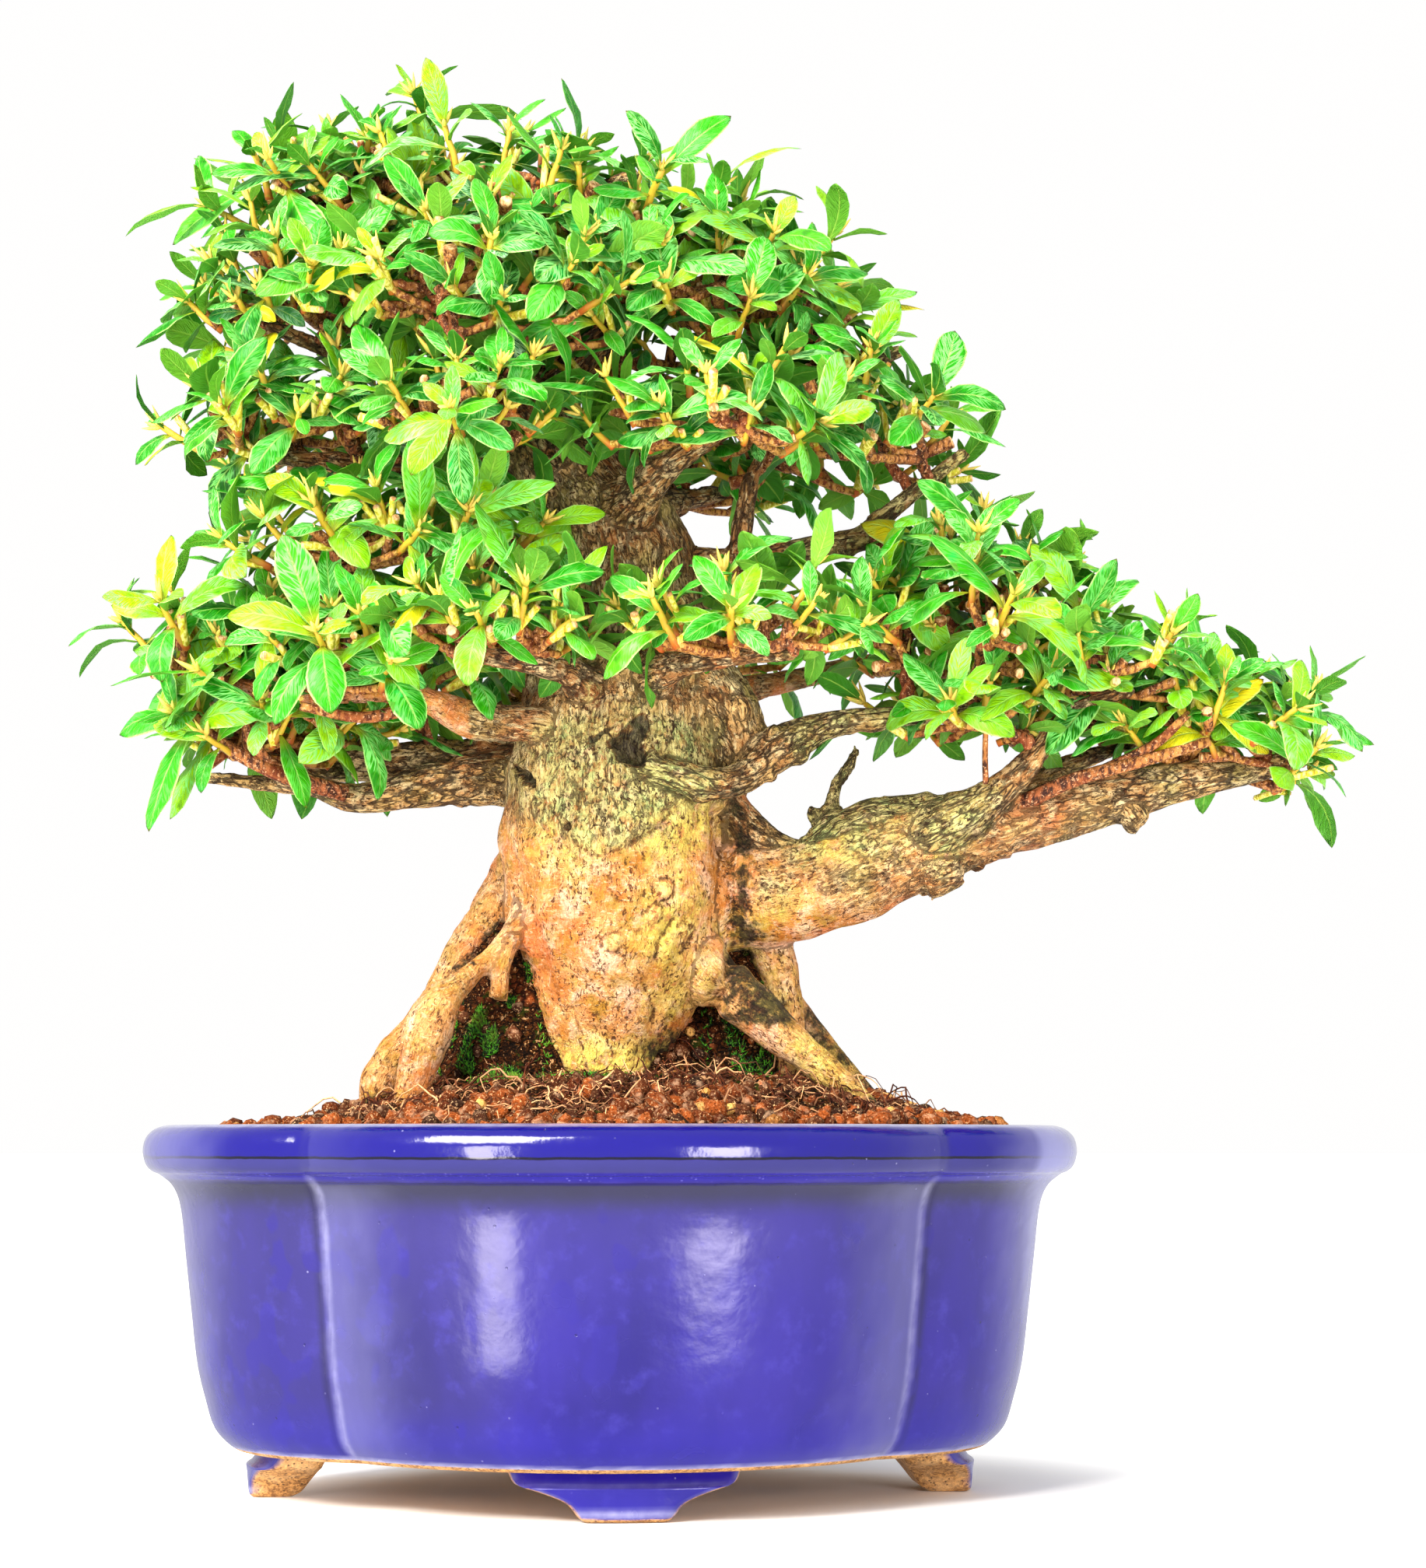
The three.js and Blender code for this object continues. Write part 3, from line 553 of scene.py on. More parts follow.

# %% [markdown]
# ## Cobalt glaze
# The glaze is a deep blue that runs thin over every edge and groove, where it turns milky, and
# stays off the inner sides of the feet and the underside, which show gritty fired clay. The mesh
# carries four numbers for that: bare, which is clay; thin, which is how far the
# glaze has run off, partly a painted highlight along the grooves, and a painted reflection on the
# lip's top; haze, a painted reflection beside the grooves and at the ends; and
# seam, a painted shadow line along each groove.


# %% Where the glaze is
def glaze_traits(mesh):
    """bare from height and from how far a foot's face turns inwards; thin
    from the height and the grooves, partly a painted highlight in the grooves and a painted
    reflection on the lip's top; haze, a painted reflection, by the distance from a
    groove and from the ends; seam, a painted shadow line, where the distance
    from a groove is 2.6 mm."""
    p, n = points_of(mesh), normals_of(mesh)
    x, y, z = p.T
    end = np.abs(x) > np.abs(y) * 1.25
    outward = np.where(end, np.sign(x) * n[:, 0], np.sign(y) * n[:, 1])
    on_foot = z < 12.9
    wobble = 0.5 * lumps(p, 6, 3) + 0.25 * lumps(p, 2.2, 4)
    bare = np.where(on_foot, ease((0.42 - outward + 0.12 * wobble) / 0.16), 0)
    bare = np.maximum(bare, ease((1.15 - z + 0.5 * wobble) / 0.5))
    bare = np.maximum(bare, np.where((z < 14.5) & (n[:, 2] < -0.8), 1, 0))
    middle_in = (np.abs(x) < 113) & (np.abs(y) < 91) & (z < 97)
    inner = middle_in & (n[:, 0] * x + n[:, 1] * y < 0)
    bare = np.maximum(bare, inner * ease((96 - z) / 4))
    nx, ny = (np.abs(line[:, 0]) for line in quatrefoil(OUTER_PROFILE[:, 1]))
    rise = OUTER_PROFILE[:, 0]
    groove = np.hypot(np.abs(x) - np.interp(z, rise, nx), np.abs(y) - np.interp(z, rise, ny))
    # Along the grooves the pale line is partly thin glaze, partly a painted highlight.
    thin = (0.34 + 0.3 * wobble) * ease((2.3 + 0.8 * wobble - groove) / 2.3) * (z > 14) * (z < 101)
    thin = np.maximum(thin, ease((1.1 - np.abs(z - 14.1 + 0.5 * wobble)) / 0.8))
    # On the lip's top the pale line is a painted reflection.
    thin = np.maximum(thin, 0.8 * ease((z - 102.9 + 0.3 * wobble) / 0.8))
    thin = np.maximum(thin, on_foot * ease((1 - np.abs(outward - 0.62)) - 0.75) * 2.2)
    thin = np.maximum(thin, on_foot * 0.8 * ease((1.6 - np.abs(z - 2.2)) / 1.2))
    over_end = np.abs(x) - np.interp(z, rise, nx)
    # seam: a painted shadow line beside each groove, on the end lobes.
    seam = 0.8 * ease((1.5 - np.abs(groove - 2.6)) / 1.2) * (over_end > 0.4) * (z > 15) * (z < 88)
    # haze: a painted reflection, paler beside the grooves on the wide lobes and at both ends.
    middle_lobe = over_end < 0
    haze = 0.45 * middle_lobe * ease((34 + 8 * wobble - groove) / 32) * (1 - 0.75 * ease((z - 86) / 4))
    ends = np.where(x > 0, ease((x - 98 + 4 * wobble) / 26), 0.6 * ease((-x - 103 + 4 * wobble) / 23))
    haze = np.maximum(haze, ends) * (z > 12)
    return {"bare": bare, "thin": np.clip(thin, 0, 1), "haze": np.clip(haze, 0, 1), "seam": seam}


pot_traits = glaze_traits(pot_mesh)
for trait, values in pot_traits.items():
    set_trait(pot_mesh, trait, values)
print("bare clay on", round(100 * float(pot_traits["bare"].mean())), "% of the pot's points")


# %% Glaze and clay
def glaze_finish():
    """Blue from three noises by height, with painted shade under the lip, a painted dark reflection on
    its face and a painted sheen at the ends and grooves; pale where the glaze runs off thinly, partly
    a painted highlight; clay colour, grit and roughness where bare.
    """
    f = Finish("cobalt_glaze", Coat_Roughness=0.1, IOR=1.52, Specular_IOR_Level=0.45)
    at = f.place()
    over, _, height = f.parts(at)
    bare, thin = f.trait("bare"), f.trait("thin")
    drift = f.clouds(f.place((1, 1, 0.35)), 26, 3, 0.55)
    mottle = f.clouds(at, 6.5, 4, 0.6)
    blue = f.mix(drift.between(0.3, 0.7), "140a5c", "221674")
    blue = f.coats(
        blue,
        (height.between(40, 86) * 0.35, "38326c"),
        (over.between(-56, -72) * 0.5, "26224c"),
        (mottle.between(0.5, 0.8) * 0.25, "3f38a0"),
    )
    level = height + 0.7 * f.clouds(at, 9, 3) - 0.35
    face = level.between(94.7, 95.3)
    # The lip's face above 95 mm is a painted dark reflection in deep navy, with a near-black line at its
    # lower edge; the roll under it is grey-blue.
    blue = f.coats(
        blue,
        (face * 0.92, "050060"),
        ((level - 95.0).size().between(0.55, 0.2) * 0.95, "010006"),
        (level.between(90.8, 91.8) * level.between(94.9, 94.3) * 0.85, "25245c"),
    )
    beads = f.cells(at, 1.5).between(0.3, 0.1) * f.clouds(at, 6, 2).between(0.45, 0.6)
    foot = f.mix(beads * 0.6, "231e78", "6a66b8")
    # Under the roll: a beaded blue stripe, a painted shadow line at 88.2 mm, a painted shade band from
    # 79 to 88 mm, and the painted groove shadow.
    blue = f.coats(
        blue,
        (level.between(88.8, 89.4) * level.between(91.6, 90.8) * 0.8, foot),
        ((level - 88.2).size().between(0.7, 0.2) * 0.8, "0a0540"),
        (level.between(79, 86.5) * level.between(88.3, 87.7) * 0.85, "262636"),
        (f.trait("seam") * 0.8, "161338"),
    )
    pool = f.clouds(f.place((1, 1, 0.7)), 11, 2, 0.4).between(0.6, 0.64)
    speck = f.cells(at, 5.2).between(0.07, 0.045) * f.clouds(at, 14, 1).between(0.5, 0.6)
    pits = f.cells(at, 9.0).between(0.05, 0.03)
    # painted_sheen_mask: a painted reflection, paler beside the grooves and at the ends.
    painted_sheen_mask = f.trait("haze") * (0.55 + 0.45 * f.clouds(f.place((1, 1, 0.3)), 8, 3))
    blue = f.coats(
        blue,
        (pool * height.between(84, 76) * 0.4, "1c1270"),
        (height.between(34, 14) * 0.5, "150a86"),
        (speck * 0.25, "a9a6dc"),
        (pits * 0.7, "120b4e"),
        (painted_sheen_mask * 0.8, "6a6a94"),
        (f.trait("haze").between(0.6, 1.0) * 0.5, "8486b4"),
    )
    # Pale where the glaze runs thin; along the grooves this is partly a painted highlight, on the lip's
    # top a painted reflection.
    milky_and_sheen = f.mix(mottle, "686896", "aeaec6")
    edge = thin * (0.4 + 0.6 * f.clouds(at, 3.2, 2))
    skin = f.mix(edge.least(1.0), blue, milky_and_sheen)
    grit = f.clouds(at, 1.1, 3, 0.7)
    clay = f.mix(grit.between(0.35, 0.65), "7c5126", "cc9652")
    clay = f.coats(
        clay,
        (f.clouds(at, 7, 2).between(0.45, 0.7) * 0.5, "dcb27a"),
        (f.cells(at, 1.4).between(0.3, 0.16) * 0.8, "3a2412"),
    )
    f.wear(Base_Color=f.mix(bare, skin, clay))
    wall = 1 - height.between(88, 90)
    f.wear(
        Roughness=bare * 0.6 + wall * 0.12 + 0.1 + 0.08 * f.clouds(at, 11, 2) * (1 - bare),
        Coat_Weight=0.15 * (1 - bare),
    )
    ripple = f.clouds(at, 9, 1)
    bump = f.relief(ripple + 0.3 * f.clouds(at, 2.5, 2), 0.24)
    bump = f.relief(speck - pits, 0.12, 0.8, bump)
    f.wear(Normal=f.relief(grit * bare, 0.5, 1.0, bump))
    return f


piece("glazed_pot", pot_mesh, glaze_finish(), ["pot"])


# %% [markdown]
# ## Drain nets
# The nets over the drain holes are CAD nodes whose shape is right, so they stay and only get the
# look of extruded black plastic: faint parting streaks and a dusting of clay from the soil above.


# %% Net plastic
def net_finish():
    """Black with pale dust by a fine noise; streaks run along x."""
    f = Finish("net_plastic", Specular_IOR_Level=0.4)
    at = f.place()
    dust = f.clouds(at, 2.5, 3, 0.6).between(0.5, 0.75)
    streak = f.clouds(f.place((0.2, 2, 2)), 1.0, 2)
    f.wear(
        Base_Color=f.mix(dust * 0.5, "17171a", "6d4a33"),
        Roughness=0.45 + 0.35 * dust,
        Normal=f.relief(streak, 0.15),
    )
    return f


net_plastic = net_finish()
for net in ("drain_net_left", "drain_net_right"):
    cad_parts[net].data.materials.clear()
    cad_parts[net].data.materials.append(net_plastic.material)
print("nets keep their CAD shape")


# %% [markdown]
# ## Soil: a mound, then loose clay granules
# The tree sits high on its old root ball, with baked-clay granules filled in round it. The body of
# the soil is one closed surface over the same mound and bank as in the frame, roughened by noise.
# The granules are a few thousand small angular pebbles that lie on it, each a rounded cube of 24
# faces squeezed at random.

# %% Soil body
SOIL_EDGE_Z, SOIL_MOUND, SOIL_BANK = 99.0, 15.0, 30.0


def soil_height(x, y):
    """Edge height + mound by distance from the middle + bank behind the trunk's front +
    moss-grown clods held between the trunk and its left and right roots + small waves."""
    mound = SOIL_MOUND * ease((116 - np.hypot(x - 6, y / 0.85)) / 75)
    bank = SOIL_BANK * ease(1.9 - 1.9 * np.hypot((x - 2) / 62, (y - 22) / 42))
    left = 34 * ease(1.64 - 1.2 * np.hypot((x + 28) / 19, (y - 3) / 15))
    right = 26 * ease(1.5 - 1.2 * np.hypot((x - 38) / 15, (y - 6) / 13))
    waves = np.sin(x * 0.83 + 2 * np.sin(y * 0.31)) * np.sin(y * 0.91 + 2 * np.sin(x * 0.37))
    return SOIL_EDGE_Z + 1.2 + mound + bank + left + right + 0.9 * waves


def rooty(x, y):
    """1 on the old root ball, 0 out on the loose granules, with a ragged border."""
    ragged = 0.25 * lumps(np.stack([x, y, 0 * x], -1), 11, 8)
    return ease((1.05 + 1.5 * ragged - np.hypot((x - 6) / 90, (y - 4) / 82)) / 0.3)


def soil_body():
    """Rings of the pot's inner outline, first up its side, then shrinking over the top to a point."""
    sides = [(-24.8, 19.45), (-20.5, 20.6), (-17.7, 22.3), (-13.1, 40), (-10.2, 72), (-7.6, 98.2)]
    x, y = quatrefoil([s[0] for s in sides], crowd=0.3)
    rings = [np.stack([x, y, np.broadcast_to(np.array([s[1] for s in sides])[:, None], x.shape)], -1)]
    share = np.linspace(0.985, 0.02, 84)[:, None]
    tx, ty = x[-1:] * share, y[-1:] * share
    flat = np.stack([tx, ty, 0 * tx], -1)
    rough = 0.9 * lumps(flat, 3.1, 1) + 0.7 * lumps(flat, 1.6, 2)
    fibres = rooty(tx, ty) * (2.4 * lumps(flat * (1, 2, 1), 5.5, 5) + 1.6 * np.abs(lumps(flat, 2.6, 6)))
    top = soil_height(tx, ty) + rough * ease((0.99 - share) * 30) + fibres
    rings.append(np.stack([tx, ty, top], -1))
    rings = np.concatenate(rings)
    points, *faces = shut(rings, (0, 0, sides[0][1]), rings[-1].mean(0))
    return as_mesh("soil_body", points, faces)


soil_mesh = soil_body()
soil_points = points_of(soil_mesh)
set_trait(soil_mesh, "rooty", rooty(soil_points[:, 0], soil_points[:, 1]))
print("soil body", len(soil_points), "points")


# %% Root-ball and clay colours
def soil_finish():
    """Red-brown crumbs by cells where loose, dark fibres by stretched noise where rooty, and
    near-black painted shade in the gaps between lumps.
    """
    f = Finish("root_ball_soil", Specular_IOR_Level=0.08)
    at = f.place()
    rooty_here = f.trait("rooty")
    crumb = f.cells(at, 3.4, out=1)
    grain = f.parts(crumb)[0]
    clay = f.mix(grain, "2c1207", "6e3415")
    clay = f.mix(f.clouds(at, 1.2, 3, 0.7).between(0.4, 0.7), clay, "9a5a2a")
    strands = f.clouds(f.place((1, 1, 2.2)), 2.4, 4, 0.65, 2.5)
    ball = f.mix(strands.between(0.42, 0.6), "140802", "5e3210")
    ball = f.coats(
        ball,
        (f.clouds(at, 16, 2).between(0.5, 0.7) * 0.6, "78381a"),
        (strands.between(0.62, 0.68) * 0.8, "b87a40"),
    )
    lump = f.cells(f.stirred(at, 1.6, 2.0), 2.6, "DISTANCE_TO_EDGE")
    # Near black in the gaps between lumps: painted shade.
    ball = f.coats(
        ball,
        (lump.between(0.14, 0.03) * 0.85, "080402"),
        (f.clouds(at, 5, 4, 0.65).between(0.56, 0.63) * 0.7, "2c400c"),
        (f.clouds(at, 1.1, 3, 0.6).between(0.6, 0.66) * 0.8, "d8a46c"),
    )
    f.wear(
        Base_Color=f.mix(rooty_here, clay, ball),
        Roughness=0.85 + 0.1 * grain,
        Normal=f.relief(strands + f.clouds(at, 0.8, 3) + lump.between(0.0, 0.3), 1.6),
    )
    return f


piece("root_ball", soil_mesh, soil_finish(), ["soil"])


# %% Granules
def rounded_cube():
    """A cube of 2 x 2 faces a side, its points pulled to a ball: 26 points, 24 faces."""
    ticks = np.array([-1.0, 0.0, 1.0])
    grid = np.stack(np.meshgrid(ticks, ticks, ticks, indexing="ij"), -1).reshape(-1, 3)
    keep = np.abs(grid).max(1) == 1
    number = -np.ones(27, int)
    number[keep] = np.arange(26)
    quads = []
    for axis in range(3):
        a, b = (axis + 1) % 3, (axis + 2) % 3
        for side in (0, 2):
            for i in (0, 1):
                for j in (0, 1):
                    corner = np.zeros((4, 3), int)
                    corner[:, axis] = side
                    corner[:, a] = [i, i + 1, i + 1, i]
                    corner[:, b] = [j, j, j + 1, j + 1]
                    if side == 0:
                        corner = corner[::-1]
                    quads.append(number[corner[:, 0] * 9 + corner[:, 1] * 3 + corner[:, 2]])
    ball = unit(grid[keep]) * 0.72 + grid[keep] * 0.28
    return ball, np.array(quads)


def spun(draw, count):
    """Random turns, as count orthonormal triples."""
    first = unit(draw.normal(size=(count, 3)))
    second = unit(np.cross(first, unit(draw.normal(size=(count, 3)))))
    return np.stack([first, second, np.cross(first, second)], 1)


def inside_pot(x, y, offset):
    """True inside the outline moved out by offset, by
    comparing distances from the middle at one angle."""
    ox, oy = quatrefoil(offset)
    rim = np.hypot(ox[0], oy[0])
    angle = np.arctan2(oy[0], ox[0])
    order = np.argsort(angle)
    reach = np.interp(np.arctan2(y, x), angle[order], rim[order], period=2 * np.pi)
    return np.hypot(x, y) < reach


GRANULE_EDGE = -10.8


def granules(pitch=3.5, seed=11):
    """Pebbles on a jittered grid, about 3 to 7 mm across, part sunk, fewer on the root ball."""
    draw = np.random.default_rng(seed)
    gx, gy = np.meshgrid(np.arange(-118, 119, pitch), np.arange(-98, 99, pitch * 0.87))
    gx = gx + pitch / 2 * (np.arange(len(gx)) % 2)[:, None]
    x, y = gx.ravel(), gy.ravel()
    x, y = x + draw.uniform(-1.5, 1.5, x.size), y + draw.uniform(-1.5, 1.5, y.size)
    size = (
        draw.uniform(1.5, 2.7, x.size)
        * np.where(draw.random(x.size) < 0.15, 1.3, 1)
        * (1 - 0.3 * rooty(x, y))
    )
    keep = inside_pot(x, y, GRANULE_EDGE) & (draw.random(x.size) > 0.62 * rooty(x, y))
    x, y, size = x[keep], y[keep], size[keep]
    ball, quads = rounded_cube()
    count = len(x)
    squeeze = draw.uniform(0.72, 1.12, (count, 1, 3))
    knocks = 1 + draw.uniform(-0.14, 0.14, (count, len(ball), 1))
    shapes = np.einsum("npk,nkl->npl", ball * squeeze * knocks, spun(draw, count)) * size[:, None, None]
    z = soil_height(x, y) + 0.55 * size + draw.uniform(-0.6, 0.9, count)
    shapes += np.stack([x, y, z], -1)[:, None, :]
    faces = (quads[None] + (np.arange(count) * len(ball))[:, None, None]).reshape(-1, 4)
    mesh = as_mesh("granules", shapes, [faces])
    tone = draw.random((count, 3))
    tone[:, 0] *= np.where(draw.random(count) < 0.75 * rooty(x, y), 0.1, 1)
    set_trait(mesh, "tone", np.repeat(tone, len(ball), 0))
    return mesh


def granule_finish():
    """Each pebble has three numbers: which clay it is, how light, and how dusty."""
    f = Finish("baked_clay", Specular_IOR_Level=0.1)
    at = f.place()
    kind, light, dusty = f.parts(f.trait("tone", out=1))
    red = f.mix(light, "461a06", "94481a")
    gold = f.mix(light, "c98a3c", "e6b566")
    dark = f.mix(light, "22100a", "5a3018")
    body = f.mix(kind.between(0.93, 0.95), red, gold)
    body = f.mix(kind.between(0.12, 0.08), body, dark)
    grit = f.clouds(at, 0.7, 4, 0.7)
    # The pale grit specks are painted highlights.
    body = f.coats(
        body,
        (grit.between(0.55, 0.7) * 0.75, "f4c890"),
        (grit.between(0.48, 0.34) * 0.9, "1e0a02"),
        (dusty * f.clouds(at, 3.0, 2).between(0.5, 0.7) * 0.6, "caa07c"),
    )
    f.wear(Base_Color=body, Roughness=0.8 + 0.15 * grit, Normal=f.relief(grit + f.cells(at, 1.1), 0.5))
    return f


piece("clay_granules", granules(), granule_finish())

# %% [markdown]
# ## Fine roots and moss
# Hair-thin old roots curl over the root ball, and dark moss grows in its damp folds. A rootlet is a
# path that turns a little at each step while it follows the soil's height, with a square carried
# along it. Moss is thousands of slim three-sided spikes that stand off the soil.


# %% Rootlets
TUBE_LEAN = (0.31, -0.9, 0.27)  # a way that no tube is likely to run along
ROOTLET_EDGE = -11.0


def tubes(paths, radii, sides):
    """Rings round many paths of one length, with a point at each end:
    centre + r (cos a side + sin a across)."""
    ahead = unit(np.gradient(paths, axis=1))
    lean = np.broadcast_to(np.array(TUBE_LEAN), ahead.shape)
    side = unit(lean - ahead * (lean * ahead).sum(-1, keepdims=True))
    across = np.cross(ahead, side)
    angle = np.arange(sides) / sides * 2 * np.pi
    rings = paths[:, :, None] + radii[:, :, None, None] * around(angle, side, across)
    count, rows = paths.shape[:2]
    points = np.concatenate([rings.reshape(-1, 3), paths[:, 0], paths[:, -1]])
    j = np.arange(sides)
    base = (np.arange(count) * rows * sides)[:, None]
    first = len(points) - 2 * count + np.arange(count)[:, None]
    low = np.stack([first + 0 * j, base + (j + 1) % sides, base + j], -1).reshape(-1, 3)
    top = base + (rows - 1) * sides
    high = np.stack([first + count + 0 * j, top + j, top + (j + 1) % sides], -1).reshape(-1, 3)
    return points, weave(rows, sides, count), np.concatenate([low, high])


def tube_values(rows, ends, count, sides):
    """A number for every point of tubes(): one a ring, the same for all tubes, then one for each end."""
    return np.concatenate([np.tile(np.repeat(rows, sides), count), np.repeat(ends, count)])


def rootlets(count=1500, seed=21):
    """Starts on the root ball; each step turns by a random
    angle; a low arch lifts the middle of the path."""
    draw = np.random.default_rng(seed)
    angle, reach = draw.uniform(0, 2 * np.pi, count), np.sqrt(draw.uniform(0.04, 1.25, count))
    start = np.stack([4 + 78 * reach * np.cos(angle), 2 + 68 * reach * np.sin(angle)], -1)
    steps = 9
    way = draw.uniform(0, 2 * np.pi, count)[:, None] + np.cumsum(draw.normal(0, 0.55, (count, steps)), 1)
    stride = draw.uniform(1.0, 3.1, count)[:, None]
    x = start[:, :1] + np.cumsum(stride * np.cos(way), 1)
    y = start[:, 1:] + np.cumsum(stride * np.sin(way), 1)
    t = np.linspace(0, 1, steps)[None, :]
    arch = draw.uniform(0.4, 1.0, count)[:, None]
    tall = draw.choice([2.0, 3.5, 7.5], count, p=[0.55, 0.32, 0.13])[:, None]
    lift = np.sin(np.pi * t) * arch * tall
    z = soil_height(x, y) + 0.7 + lift + 0.5 * draw.normal(size=(count, steps))
    keep = inside_pot(x, y, ROOTLET_EDGE).all(1) & (np.ptp(z, axis=1) < 12)
    paths = np.stack([x, y, z], -1)[keep]
    thick = draw.uniform(0.14, 0.34, count)[keep][:, None] * (1.15 - 0.75 * t)
    points, *faces = tubes(paths, thick, 4)
    mesh = as_mesh("rootlets", points, faces)
    tone = np.repeat(draw.random(len(paths)), steps * 4)
    caps = np.tile(draw.random(len(paths)), 2)
    set_trait(mesh, "tone", np.concatenate([tone, caps]))
    return mesh


def rootlet_finish():
    """Pale to red-brown by each rootlet's number, mottled along its length."""
    f = Finish("fine_roots", Specular_IOR_Level=0.2)
    at = f.place()
    tone = f.trait("tone")
    body = f.mix(tone.between(0.45, 1.0), "3a1606", "e8b07a")
    body = f.mix(f.clouds(at, 1.6, 3).between(0.45, 0.65) * 0.5, body, "7d3c16")
    f.wear(
        Base_Color=body,
        Roughness=0.75 + 0.2 * f.clouds(at, 0.9, 2),
        Normal=f.relief(f.clouds(at, 0.6, 3), 0.2),
    )
    return f


piece("fine_roots", rootlets(), rootlet_finish())

# %% Moss
MOSS_THICK = 0.26
MOSS_PATCHES = [  # x, y, half width, half depth, how many
    (-34, -8, 14, 11, 4200), (-30, -22, 9, 6, 1500), (-6, -27, 13, 4, 1500),
    (38, -4, 12, 9, 1100), (-20, 40, 20, 14, 800), (30, 44, 16, 10, 500),
]


def moss(seed=31):
    """Spikes by patch (x, y, half width, half depth, how
    many): three base points round the root, one tip."""
    draw = np.random.default_rng(seed)
    tuft = 3
    roots = []
    for x, y, wide, deep, many in MOSS_PATCHES:
        spot = draw.normal(0, 0.45, (many, 2)) * (wide, deep) + (x, y)
        roots.append(spot[lumps(np.column_stack([spot, 0.4 * soil_height(*spot.T)]), 5, 9) > -0.02])
    spot = np.concatenate(roots)
    foot_at = np.column_stack([spot, soil_height(*spot.T) + 0.9 + 0.8 * draw.random(len(spot))])
    foot_at = np.repeat(foot_at, tuft, 0)
    count = len(foot_at)
    way = unit(draw.normal(0, 0.75, (count, 3)) + (0, -0.25, 0.9))
    length = draw.uniform(1.1, 2.6, count)[:, None]
    turn = spun(draw, count)
    side = unit(turn[:, 0] - way * (turn[:, 0] * way).sum(-1, keepdims=True))
    across = np.cross(way, side)
    angle = np.arange(3) / 3 * 2 * np.pi
    ring = foot_at[:, None] + MOSS_THICK * around(angle, side, across)
    points = np.concatenate([ring, (foot_at + way * length)[:, None]], 1)
    shape = np.array([(0, 1, 3), (1, 2, 3), (2, 0, 3), (0, 2, 1)])
    faces = (shape[None] + 4 * np.arange(count)[:, None, None]).reshape(-1, 3)
    mesh = as_mesh("moss", points, [faces])
    set_trait(mesh, "tone", np.repeat(draw.random(count), 4))
    return mesh


def moss_finish():
    """Near black to bright green by each spike's number, in drifts of yellow-green."""
    f = Finish("dark_moss", Specular_IOR_Level=0.25)
    at = f.place()
    body = f.mix(f.trait("tone").between(0.3, 1.0), "041004", "4e9a1a")
    body = f.mix(f.clouds(at, 6, 2).between(0.5, 0.75) * 0.6, body, "6f8a1c")
    f.wear(
        Base_Color=body,
        Roughness=0.6 + 0.2 * f.clouds(at, 2, 2),
        Normal=f.relief(f.clouds(at, 0.5, 2), 0.1),
    )
    return f


piece("moss", moss(), moss_finish())

# %% [markdown]
# ## Wood: limbs as paths, grown together
# Trunk, surface roots and branches are runs of points with a radius, the same as in the frame. Each
# becomes a tube, the tubes are joined by a fine voxel remesh, and the joint is relaxed, so that a
# branch leaves the trunk in a collar as it does in life. Bark is then raised and sunk along the
# surface by sums of noise. Points know which limb they lie on and how far along it, so fissures
# follow the limb.

# %% Limbs
TRUNK = [
    (-4, 2, 90, 22), (-4, 0, 104, 20), (-3, -1, 117, 17.5), (-2, -1, 131, 21), (-1, 0, 147, 28),
    (1, 0, 165, 32.5), (1, 0, 186, 33.2), (1, 0, 206, 32.8), (1, 1, 220, 30.5), (2, 2, 240, 26.5),
    (1, 3, 262, 24.5), (-4, 4, 280, 22), (-16, 5, 298, 17), (-28, 5, 314, 13), (-38, 4, 333, 9.5),
    (-46, 2, 356, 6.5), (-54, 0, 388, 2.6),
]
ROOTS = {
    "left_back": [
        (-19, 6, 182, 14), (-30, 6, 170, 9.6), (-42.5, 3, 153, 7.2), (-56, -1, 132, 6),
        (-66, -5, 118, 6.6), (-68, -6, 96, 5),
    ],
    "left_front": [
        (-22, -12, 166, 6), (-33, -17, 154, 2.8), (-41, -21, 146, 3.6), (-48.5, -25, 138, 6),
        (-52.5, -26, 127, 6.6), (-56, -27, 114, 4.9), (-58, -28, 100, 3.2),
    ],
    "left_stub": [(-25, -12, 166, 5), (-31, -17, 152, 3), (-32.5, -18, 139.5, 2.8)],
    "right_front": [
        (16, -8, 158, 12), (33, -11, 143, 8), (52, -16, 127, 5.6), (66, -19, 115, 4.4),
        (78, -21, 103, 2.8),
    ],
    "right_middle": [
        (30, 4, 174, 13), (42, 6, 161, 7.2), (48.5, 5, 148, 5.8), (50.5, 3, 130, 5),
        (51, 2, 106, 4.4), (52, 3, 92, 3),
    ],
    "right_back": [(41, 10, 154, 7), (56, 12, 133, 4.8), (82, 18, 103, 3.2)],
    "back_left": [
        (-12, 14, 172, 14), (-24, 31, 142, 8.2), (-36, 45, 120, 5.4), (-42, 57, 103, 4),
        (-50, 68, 89, 2.4),
    ],
    "back_right": [
        (12, 16, 172, 14), (22, 35, 142, 7.8), (34, 48, 120, 5.6), (37, 60, 104, 4.4),
        (45, 71, 89, 2.4),
    ],
    "back": [
        (0, 18, 164, 12), (-2, 37, 138, 7.4), (3, 49, 119, 4.8), (-4, 61, 102, 4), (-9, 73, 88, 2.2),
    ],
}
